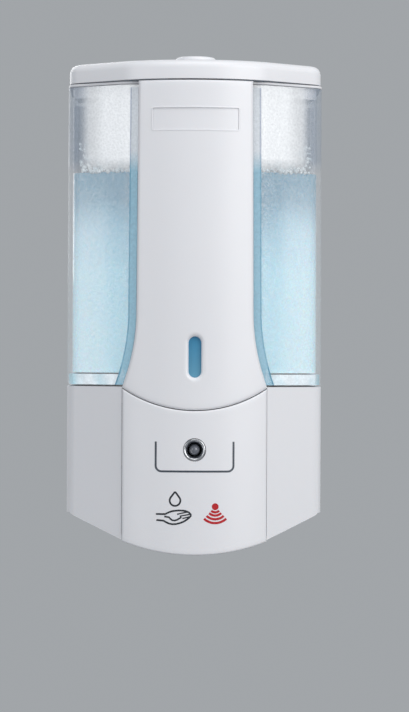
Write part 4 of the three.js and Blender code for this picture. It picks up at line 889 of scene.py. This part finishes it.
# ---- Printed symbols. Pad printed ink a few hundredths of a millimetre thick: a dark line that frames
# the lamp from below, a drop over a hand where the soap comes out, and red rays at the sensor.
def pad_ink(name, colour):
    """Printing ink: slightly uneven in tone, with a soft gloss."""
    material, tree, shader = new_material(name, 0.4, 0, colour)
    paler = tuple(c * 1.25 + 0.004 for c in colour)
    two_tone(tree, object_noise(tree, 900, 3), colour, paler, shader.inputs["Base Color"])
    between(tree, object_noise(tree, 700), 0.34, 0.48, shader.inputs["Roughness"])
    raise_bumps(tree, shader, object_noise(tree, 3000, 2), 0.000008, 0.5)
    return material


def ink_line(name, path, width, ink):
    path = [(x / 1000, low_tip + z / 1000) for x, z in path]
    settle(front_line(name, path, width, 0.00004), ink, "dispenser")


slate_ink = pad_ink("slate_ink", (0.050, 0.060, 0.078))
charcoal_ink = pad_ink("charcoal_ink", (0.014, 0.018, 0.023))
red_ink = pad_ink("red_ink", (0.42, 0.001, 0.006))
frame_left, frame_right, frame_foot, frame_head, frame_round = -16.7, 16.8, 36.1, 48.9, 2.4
frame_line = [(frame_left, frame_head)]
frame_line += corner_round(frame_left + frame_round, frame_foot + frame_round, frame_round, 180)
frame_line += corner_round(frame_right - frame_round, frame_foot + frame_round, frame_round, 270)
ink_line("printed_frame", frame_line + [(frame_right, frame_head)], 0.00092, slate_ink)

drop_x, drop_z, drop_radius, drop_tip = -8.3, 23.6, 2.3, 27.4
lean = math.degrees(math.acos(drop_radius / (drop_tip - drop_z)))
round_part = [math.radians(90 + lean + (360 - 2 * lean) * i / 24) for i in range(25)]
drop_line = [(drop_x + drop_radius * math.cos(a), drop_z + drop_radius * math.sin(a)) for a in round_part]
ink_line("printed_drop", [(drop_x, drop_tip)] + drop_line + [(drop_x, drop_tip)], 0.00082, charcoal_ink)
hand_back = [(-16.5, 17.7), (-12.5, 17.7), (-11, 18.5), (-9.4, 19.05), (-7, 19.35), (-4.66, 19.3)]
hand_back += [(-3.2, 18.95), (-2.3, 18.5), (-1.6, 17.8), (-1.36, 17.15)]
ink_line("printed_hand_back", hand_back, 0.00082, charcoal_ink)
hand_palm = [(-16.3, 15.1), (-13.3, 14.9), (-12.2, 14.3), (-10.95, 13.7), (-9.4, 13.4)]
hand_palm += [(-7.8, 13.5), (-6.2, 13.9), (-4.66, 14.5), (-2.8, 15.7), (-1.36, 17.15)]
ink_line("printed_hand_palm", hand_palm, 0.00082, charcoal_ink)
hand_thumb = [(-12.9, 16.7), (-10.95, 16.4), (-10.1, 15.6), (-9.4, 15.1), (-8.4, 15.0)]
ink_line("printed_hand_thumb", hand_thumb + [(-7.4, 15.3), (-5.5, 16.5)], 0.00078, charcoal_ink)
ink_line("printed_finger_1", [(-7.4, 17.7), (-3.1, 18.7)], 0.00062, charcoal_ink)
ink_line("printed_finger_2", [(-6.2, 16.9), (-1.9, 17.7)], 0.00062, charcoal_ink)
ink_line("printed_finger_3", [(-5.1, 15.9), (-1.7, 16.7)], 0.00062, charcoal_ink)

eye_x, eye_z = 9.0, 21.0
turns = [2 * math.pi * i / 32 for i in range(32)]
dot_rings = []
for radius, lift in ((0.0015, -0.00005), (0.00145, 0.00004)):
    across = [eye_x / 1000 + radius * math.cos(a) for a in turns]
    upward = [low_tip + eye_z / 1000 + radius * math.sin(a) for a in turns]
    dot_rings.append([(x, front_at(x) - lift, z) for x, z in zip(across, upward)])
settle(ringed("printed_eye", dot_rings), red_ink, "dispenser")
for number, (radius, half) in enumerate(((2.4, 1.7), (3.8, 2.6), (5.4, 3.7), (7.05, 4.8))):
    reach = math.asin(half / radius)
    swing = [-math.pi / 2 + reach * (i / 8 - 1) for i in range(17)]
    ray = [(eye_x + radius * math.cos(a), eye_z + radius * math.sin(a)) for a in swing]
    ink_line(f"printed_ray_{number + 1}", ray, 0.0011, red_ink)


# ---- Lamp ring. A turned brass ring, chrome plated, countersunk around the clear lamp and pushed
# into the lower front panel.
chrome, chrome_tree, chrome_shader = new_material("ring_chrome", 0.12, 1.0, (0.66, 0.67, 0.69))
two_tone(chrome_tree, object_noise(chrome_tree, 380, 4), (0.52, 0.53, 0.55), (0.72, 0.73, 0.75),
         chrome_shader.inputs["Base Color"])
between(chrome_tree, object_noise(chrome_tree, 800), 0.08, 0.22, chrome_shader.inputs["Roughness"])
ring_profile = [(0.0030, 0.0060), (0.0039, 0.0060), (0.0039, 0.0011), (0.0047, 0.0010), (0.0048, 0.0006),
                (0.0047, 0.0002), (0.0044, 0.0000), (0.0040, 0.0001), (0.0036, 0.0008), (0.0031, 0.0020),
                (0.0030, 0.0026)]
ring_rings = [round_ring(radius, front_face + depth, lamp_z, 64) for radius, depth in ring_profile]
lamp_ring = ringed("lamp_ring", ring_rings, True)
smooth_edges(lamp_ring, 50)
lamp_ring.data.materials.append(chrome)
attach(lamp_ring, "dispenser")
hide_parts("led_bezel")


# ---- Tank collar. A thin white ring that frames the tank's mouth under the lid and stiffens it.
# Two short clips at the front corners hang inside the tank.
finished("tank_collar", 0.0002, shell_white, "dispenser", 1)


# ---- Lid. A white moulded cap with softly rounded edges, hinged at the back on two steel pins. A
# round white button on a coil spring sits near its front.
finished("lid", 0.0003, shell_white, "lid")
finished("lid_button", 0.0004, shell_white, "button")
finished("button_spring", 0.00005, contact_nickel, "lid", 1, 0.00002)
for side in ("left", "right"):
    finished(f"hinge_pin_{side}", 0.0002, screw_steel, "dispenser", 1)
